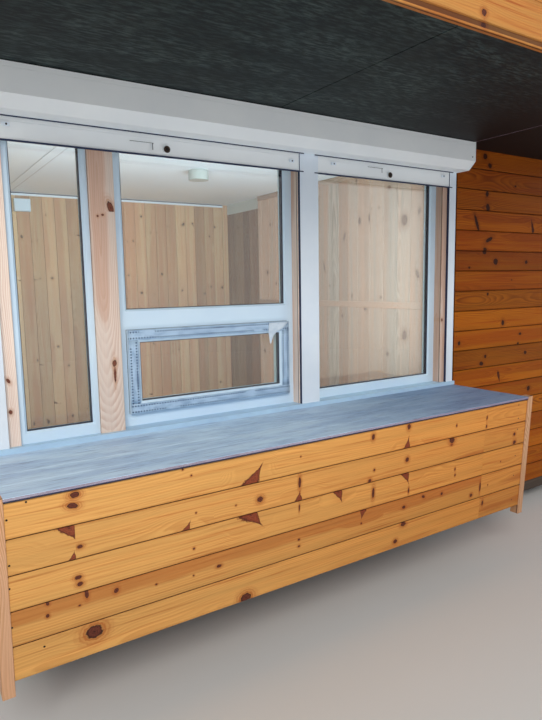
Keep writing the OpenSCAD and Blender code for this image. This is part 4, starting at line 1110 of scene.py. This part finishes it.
def counter():
    """Deck of boards over a leaning skirt, with trims and boarded ends."""
    lo, hi = box("counter_top")
    skirt_lo, skirt_hi = box("counter_skirt")
    lean = math.atan((skirt_hi[1] - skirt_lo[1] - SKIRT_DEPTH) / (skirt_hi[2] - skirt_lo[2]))
    ahead = np.array([0, -math.cos(lean), -math.sin(lean)])
    rise = np.array([0, -math.sin(lean), math.cos(lean)])
    tall = (skirt_hi[2] - skirt_lo[2]) / math.cos(lean)
    pitch = tall / SKIRT_ROWS
    foot = np.array([skirt_lo[0], skirt_hi[1] - SKIRT_DEPTH, skirt_lo[2]]) - ahead * SKIRT_DEPTH
    joint = 2186 * MM
    parts = []
    for row in range(SKIRT_ROWS):
        for part, (u0, u1) in enumerate([(0, joint), (joint + 0.6 * MM, hi[0] - lo[0])]):
            knots = [(u - u0 / MM, pitch / MM - down, ru, rv, tilt, taper)
                     for u, down, ru, rv, tilt, taper in SKIRT_KNOTS[row][part]]
            heights = foot + rise * pitch * (SKIRT_ROWS - 1 - row)
            parts.append(planks(heights + X * u0, X, ahead, u1 - u0, pitch, SKIRT_DEPTH,
                                seed=200 + 2 * row + part, knots=knots,
                                tree=SKIRT_TREES[row][part], tone=SKIRT_TONES[row][part]))
    skirt = merged(*parts)
    skirt["points"][:, 2] = np.clip(skirt["points"][:, 2], skirt_lo[2], skirt_hi[2])
    piece("skirt_boards", skirt, golden_pine, ["counter_skirt"])
    top = foot + rise * tall + ahead * SKIRT_DEPTH
    heads = [top + X * u * MM - rise * (row * pitch + down * MM) for u, row, down in SKIRT_SCREWS]
    piece("skirt_screws", discs(heads, ahead, 3.4 * MM, 0.5 * MM, 10), black_steel)

    # Trims, cut level at both ends
    trim_lo, trim_hi = box("counter_trims")
    shapes = []
    for i, x in enumerate((skirt_lo[0], trim_hi[0])):
        length = (trim_hi[2] - trim_lo[2]) / math.cos(lean) + 8 * MM
        front = np.array([x, skirt_hi[1] - SKIRT_DEPTH, skirt_lo[2]]) - Y * TRIM_PROUD
        base = front + rise / rise[2] * (trim_lo[2] - skirt_lo[2]) - rise * 4 * MM - ahead * TRIM_DEPTH
        trim = planks(base, rise, ahead, length, TRIM_WIDTH, TRIM_DEPTH, eased, seed=230 + i,
                      knots=[], tone=TRIM_TONES[i], tree=(0.03, 0.06, 0.6))
        trim["points"][:, 2] = np.clip(trim["points"][:, 2], trim_lo[2], trim_hi[2])
        shapes.append(trim)
    piece("skirt_trims", merged(*shapes), trim_pine, ["counter_trims"])

    # End boards between the skirt and the wall
    end_lo, end_hi = box("counter_ends")
    rows = np.arange(SKIRT_ROWS)
    wide = np.minimum(LOW * MM, end_hi[2] - end_lo[2] - rows * LOW * MM)
    level = end_lo[2] + rows * LOW * MM
    inner = skirt_hi[1] - (level - end_lo[2]) * math.tan(lean) - 6 * MM
    thick = 18 * MM
    outer = np.full(SKIRT_ROWS, end_hi[1])
    ends = []
    for i, (x, y, along, out) in enumerate(((end_lo[0] + thick, outer, -Y, -X),
                                            (end_hi[0] - thick, inner, Y, X))):
        corners = np.stack([np.full(SKIRT_ROWS, x), y, level], axis=-1)
        ends.append(planks(corners, along, out, end_hi[1] - inner, wide, thick, seed=240 + i))
    piece("counter_end_boards", merged(*ends), golden_pine, ["counter_ends"])

    # Deck: four boards over a recessed strip, with the cut layers of the front one showing; the recessed
    # strip is dark as painted shadow under the front edge
    edge, gap = 5 * MM, 0.4 * MM
    layers = [((lo[0], lo[1] - 0.4 * MM, z), (hi[0], lo[1] + 1 * MM, z + 2.2 * MM))
              for z in np.arange(lo[2] + edge + 0.6 * MM, hi[2] - 3.2 * MM, 2.9 * MM)]
    piece("deck_edge_layers", bars(layers, 0.3 * MM), ply_edge)
    packing = ((lo[0] + 2 * MM, lo[1] + 2 * MM, lo[2]), (hi[0] - 2 * MM, lo[1] + 9 * MM, lo[2] + edge))
    piece("deck_packing_shadow", bars([packing], 0.3 * MM), dark_seal_and_shadow)
    cuts = np.linspace(lo[1], hi[1], 5)
    boards = [((lo[0], a + (0 if a == cuts[0] else gap), lo[2] + edge), (hi[0], b - gap, hi[2]))
              for a, b in zip(cuts, cuts[1:])]
    boards.append(((lo[0] + 4 * MM, lo[1] + 10 * MM, lo[2]), (hi[0] - 4 * MM, hi[1], lo[2] + edge)))
    piece("deck_boards", bars(boards, 1.2 * MM), grey_deck, ["counter_top"])


counter()


# Canopy and roof
SOFFIT_JOINTS = (-616 * MM, 660 * MM)
fascia_lo, fascia_hi = box("fascia_front")
rear_fascia_lo, rear_fascia_hi = box("fascia_rear")
ROOF_FALL = (fascia_hi[2] - rear_fascia_hi[2]) / (rear_fascia_hi[1] - fascia_lo[1])


def canopy():
    """Soffit sheets with joints along Y, and the boards of the fascias."""
    lo, hi = box("canopy_soffit")
    gap = 4 * MM
    joints = [lo[0], *SOFFIT_JOINTS, hi[0]]
    sheets = [((a + gap / 2, lo[1], lo[2]), (b - gap / 2, hi[1], hi[2]))
              for a, b in zip(joints, joints[1:])]
    piece("soffit_sheets", bars(sheets, 0.8 * MM), dark_soffit, ["canopy_soffit"])
    # Bare edge that shows in the joint at the right
    seam = ((SOFFIT_JOINTS[1] - 1.3 * MM, lo[1] + 0.45, lo[2] - 0.3 * MM),
            (SOFFIT_JOINTS[1] + 1.3 * MM, hi[1] - 0.01, lo[2] + 2 * MM))
    piece("soffit_seam", bars([seam], 0.3 * MM), ply_edge)

    front_lo, front_hi, rear_lo, rear_hi = fascia_lo, fascia_hi, rear_fascia_lo, rear_fascia_hi
    side_lo, side_hi = box("fascia_sides")
    thick = front_hi[1] - front_lo[1]
    drop = 137 * MM
    length = front_hi[0] - front_lo[0]

    def grooved(width, depth):
        """Lip, recess and face, from the foot up."""
        return section(width, [(0, 0, 0), (1, 0, 0), (1, 0, depth - EASE), (1, -EASE, depth),
                               (0, 25 * MM, depth), (0, 22 * MM, depth - 5 * MM),
                               (0, 8 * MM, depth - 5 * MM), (0, 6 * MM, depth - MM), (0, MM, depth - MM),
                               (0, 0, depth - EASE)])

    under = planks((front_lo[0], front_hi[1], front_lo[2]), X, -Y, length, drop, thick, grooved, seed=300,
                   knots=[(1414, 14, 11, 7, 0, 0), (1410, 48, 10, 9, 0, 0), (2600, 60, 8, 8, 0, 0),
                          (3300, 90, 9, 7, 0, 0), (600, 70, 9, 8, 0, 0)], tone=(-0.5, 0.6, 0.02))
    upper = planks((front_lo[0], front_hi[1], front_lo[2] + drop), X, -Y, length,
                   front_hi[2] - front_lo[2] - drop - 1 * MM, thick, eased, seed=301)
    piece("fascia_front_boards", merged(under, upper), golden_pine, ["fascia_front"])
    rear = planks((rear_hi[0], rear_lo[1], rear_lo[2]), -X, Y, length, rear_hi[2] - rear_lo[2], thick,
                  eased, seed=302)
    piece("fascia_rear_boards", rear, brown_pine, ["fascia_rear"])
    sides = []
    for x, out, along, y in ((side_lo[0] + thick, -X, -Y, side_hi[1]),
                             (side_hi[0] - thick, X, Y, side_lo[1])):
        for row, (z, high) in enumerate(((0, drop), (drop, side_hi[2] - side_lo[2] - drop))):
            board = planks((x, y, side_lo[2] + z), along, out, side_hi[1] - side_lo[1], high, thick,
                           eased, seed=310 + row)
            fall = (board["points"][:, 1] - side_lo[1]) * ROOF_FALL
            board["points"][:, 2] = np.minimum(board["points"][:, 2], side_hi[2] - fall)
            sides.append(board)
    piece("fascia_side_boards", merged(*sides), brown_pine, ["fascia_sides"])


canopy()


# Small fittings
# For each shutter: place of its lock along X, the two bars of its latch and its stops (x, z)
SHUTTER_FITTINGS = {
    "left": (-1.092, [((-1.245, 2.059), (-1.146, 2.0606)), ((-1.152, 2.034), (-1.1495, 2.059))],
             [(-1.691, 2.065), (-0.479, 2.054)]),
    "right": (0.137, [((-0.012, 2.069), (0.090, 2.0706)), ((0.082, 2.048), (0.0845, 2.069))],
              [(-0.2335, 2.064), (0.5385, 2.068)]),
}


def fittings():
    """Locks, stops, latches and seals of the shutters, and the nails of the wall."""
    box_foot = box("shutter_box")[0][2]
    rings, cores, stops, screws, latches, dark = [], [], [], [], [], []
    for side in ("left", "right"):
        lo, hi = box("shutter_bar_" + side)
        front = lo[1]
        lock_x, latch, stop_places = SHUTTER_FITTINGS[side]
        rings.append((lock_x, front - 5.2 * MM, lo[2] + 25 * MM))
        cores.append((lock_x, front - 6.4 * MM, lo[2] + 25 * MM))
        for x, z in stop_places:
            stops.append(((x - 13 * MM, front - 5 * MM, z - 6 * MM), (x + 13 * MM, front, z + 6 * MM)))
            screws.append((x + 2 * MM, front - 5 * MM, z))
        for (x0, z0), (x1, z1) in latch:
            latches.append(((x0, front - 1.6 * MM, z0), (x1, front, z1)))
        x0, x1 = lo[0] + MM, hi[0] - MM
        dark.append(((x0, front + MM, lo[2] - 5 * MM), (x1, hi[1] - MM, lo[2])))
        # Brush seal in front of the bar under the box, dark also as painted shadow of the slot
        dark.append(((x0, front - 3.5 * MM, box_foot - 4 * MM), (x1, front, box_foot)))
    for side in ("center", "right"):
        lo, hi = box("guide_rail_" + side)
        dark.append(((lo[0] - 1.6 * MM, lo[1] + 1 * MM, lo[2]), (lo[0], hi[1], hi[2])))
    piece("lock_rings", discs(rings, -Y, 13.6 * MM, 1.4 * MM, 28, 0.3), brown_brass)
    piece("lock_cores", discs(cores, -Y, 6.5 * MM, 0.9 * MM, 20, 0.3), black_steel)
    piece("shutter_stops", bars(stops, 1 * MM), white_guides)
    screws.append((629 * MM, box("shutter_box")[0][1], 2157 * MM))
    piece("stop_screws", discs(screws, -Y, 3.6 * MM, 0.8 * MM, 10), black_steel)
    piece("latch_slots", bars(latches, 0.3 * MM), dark_steel)
    piece("shutter_seals_and_shadow", bars(dark, 0.4 * MM), navy_seal_and_shadow)
    nails = [(row_right_x + 20 * MM, front_y, boards_foot + (row + share) * OUTER_PITCH)
             for row in range(OUTER_ROWS) for share in (0.22, 0.78)]
    piece("wall_nails", discs(nails, -Y, 2.6 * MM, 0.4 * MM, 8), black_steel)


fittings()


piece("door_boards", leaf_boards("door_leaf", DOOR_PITCH, ((X, 330), (-X, 331))), brown_pine,
      ["door_leaf"])

# Materials of the CAD nodes that stay as they are
KEPT = {
    white_pvc: ["window_frame_left", "window_frame_center", "window_frame_right", "hatch_sash",
                "junction_box"],
    shaded_sill_pvc: ["window_sill"],
    white_sheet: ["shutter_box", "shutter_box_caps", "shutter_bar_left", "shutter_bar_right"],
    white_guides: ["guide_rail_left", "guide_rail_center", "guide_rail_right"],
    white_panel: ["ceiling"],
    grey_panel: ["partition_lintel"],
    opal: ["ceiling_lamp"],
    timber_x: ["front_wall_header", "counter_rails", "roof_boards"],
    timber_y: ["roof_joists"],
    timber_z: ["counter_brackets"],
    shade_dark_timber_y: ["floor_joists"],
    shade_dark_timber_x: ["skids", "floor_rims"],
    stained_z: ["door_frame"],
    roof_felt: ["roof_felt"],
    dark_steel: ["roof_edge"],
    satin_steel: ["door_handle"],
}
for material, nodes in KEPT.items():
    for node in nodes:
        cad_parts[node].data.materials.clear()
        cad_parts[node].data.materials.append(material)


# Stage: pale floor, soft light, pale background
BACKDROP, BACKDROP_LEVEL = "#F4F6FA", 0.86
WORLD_LEVEL, KEY_POWER, FILL_POWER, ROOM_POWER, BOUNCE_POWER = 0.43, 500, 110, 46, 4


def straight_ray(n):
    """1 for what the camera sees directly, in a mirror or through glass, and 0 for light."""
    camera, glossy, transmitted = n("LightPath", out=(0, 3, 6))
    return n("Math MAXIMUM", n("Math MAXIMUM", camera, glossy), transmitted)


def stage():
    """A wide floor at the hut's foot, large soft lamps and a pale world."""
    material, n = start("floor_pale_matt")
    place = n("TexCoord", out=3)
    cloud = stretched(n, place, (0.6, 0.6, 0.6), detail=3.0)
    colour = blend(n, cloud, linear("#DEDEDD"), linear("#D8D8D6"))
    solid = n("BsdfPrincipled", inputs={"Base Color": colour, "Roughness": 0.9})
    # Far from the hut the floor turns into the background, but not for the light it gives
    far = ramp(n, n("VectorMath LENGTH", place, out=1), 3.5, 11.0)
    back = n("Emission", linear(BACKDROP), BACKDROP_LEVEL)
    n("OutputMaterial", n("MixShader", n("Math MULTIPLY", far, straight_ray(n)), solid, back))
    mesh = bpy.data.meshes.new("ground_sheet")
    mesh.from_pydata([(-40, -40, 0), (40, -40, 0), (40, 40, 0), (-40, 40, 0)], [], [(0, 1, 2, 3)])
    mesh.materials.append(material)
    ground = bpy.data.objects.new("ground_sheet", mesh)
    bpy.context.scene.collection.objects.link(ground)

    world = bpy.data.worlds.new("soft_sky")
    bpy.context.scene.world = world
    world.use_nodes = True
    world.node_tree.nodes.clear()
    n = functools.partial(add, world.node_tree)
    strength = n("MapRange", straight_ray(n), 0.0, 1.0, WORLD_LEVEL, BACKDROP_LEVEL)
    n("OutputWorld", n("Background", linear(BACKDROP), strength))

    def lamp(name, place, target, size, power, colour):
        """A square lamp at a place, turned towards a target."""
        light = bpy.data.lights.new(name, "AREA")
        light.shape = "SQUARE"
        light.size, light.energy = size, power
        light.color = linear(colour)[:3]
        made = bpy.data.objects.new(name, light)
        made.location = place
        made.rotation_euler = (Vector(target) - Vector(place)).to_track_quat("-Z", "Y").to_euler()
        bpy.context.scene.collection.objects.link(made)
        return made

    lamp("key_lamp", (-5.0, -8.0, 6.0), (0, -1, 1), 4.0, KEY_POWER, "#FFFAF2")
    fill = lamp("fill_lamp", (7.0, -7.0, 3.0), (0, 0, 1), 5.0, FILL_POWER, "#F2F6FF")
    # Sunlight that the ground throws up onto the shutter box
    bounce = lamp("bounce_lamp", (-0.6, -2.35, 0.35), (-0.6, -1.0, 2.15), 3.4, BOUNCE_POWER, "#F6FAFF")
    row_middle = (row_left_x + row_right_x) / 2
    room = lamp("window_light", (row_middle, inner_front_y + 0.06, 1.5), (row_middle, 1.0, 1.5), 2.2,
                ROOM_POWER, "#F2F6FF")
    for light, height in ((room, 1.1), (bounce, 0.4)):
        light.data.shape = "RECTANGLE"
        light.data.size_y = height
    bounce.data.spread = math.radians(100)
    for light in (fill, room, bounce):
        light.visible_camera = light.visible_glossy = light.visible_transmission = False


stage()


# Camera
def photo_camera():
    """Camera axes from its yaw, pitch and roll."""
    yaw, pitch, roll = (math.radians(a) for a in (CAMERA_YAW, CAMERA_PITCH, CAMERA_ROLL))
    ahead = np.array([math.sin(yaw) * math.cos(pitch), math.cos(yaw) * math.cos(pitch), math.sin(pitch)])
    level = np.array([math.cos(yaw), -math.sin(yaw), 0])
    down = np.cross(ahead, level)
    across = math.cos(roll) * level + math.sin(roll) * down
    below = -math.sin(roll) * level + math.cos(roll) * down
    camera = bpy.data.objects.new("camera", bpy.data.cameras.new("camera"))
    camera.data.sensor_width = 36
    camera.data.lens = FOCAL_PIXELS * camera.data.sensor_width / max(PICTURE)
    matrix = np.eye(4)
    matrix[:3, 0], matrix[:3, 1], matrix[:3, 2], matrix[:3, 3] = across, -below, -ahead, CAMERA_PLACE
    camera.matrix_world = Matrix(matrix.tolist())
    bpy.context.scene.collection.objects.link(camera)
    bpy.context.scene.camera = camera


photo_camera()
bpy.context.scene.view_settings.view_transform = "Standard"
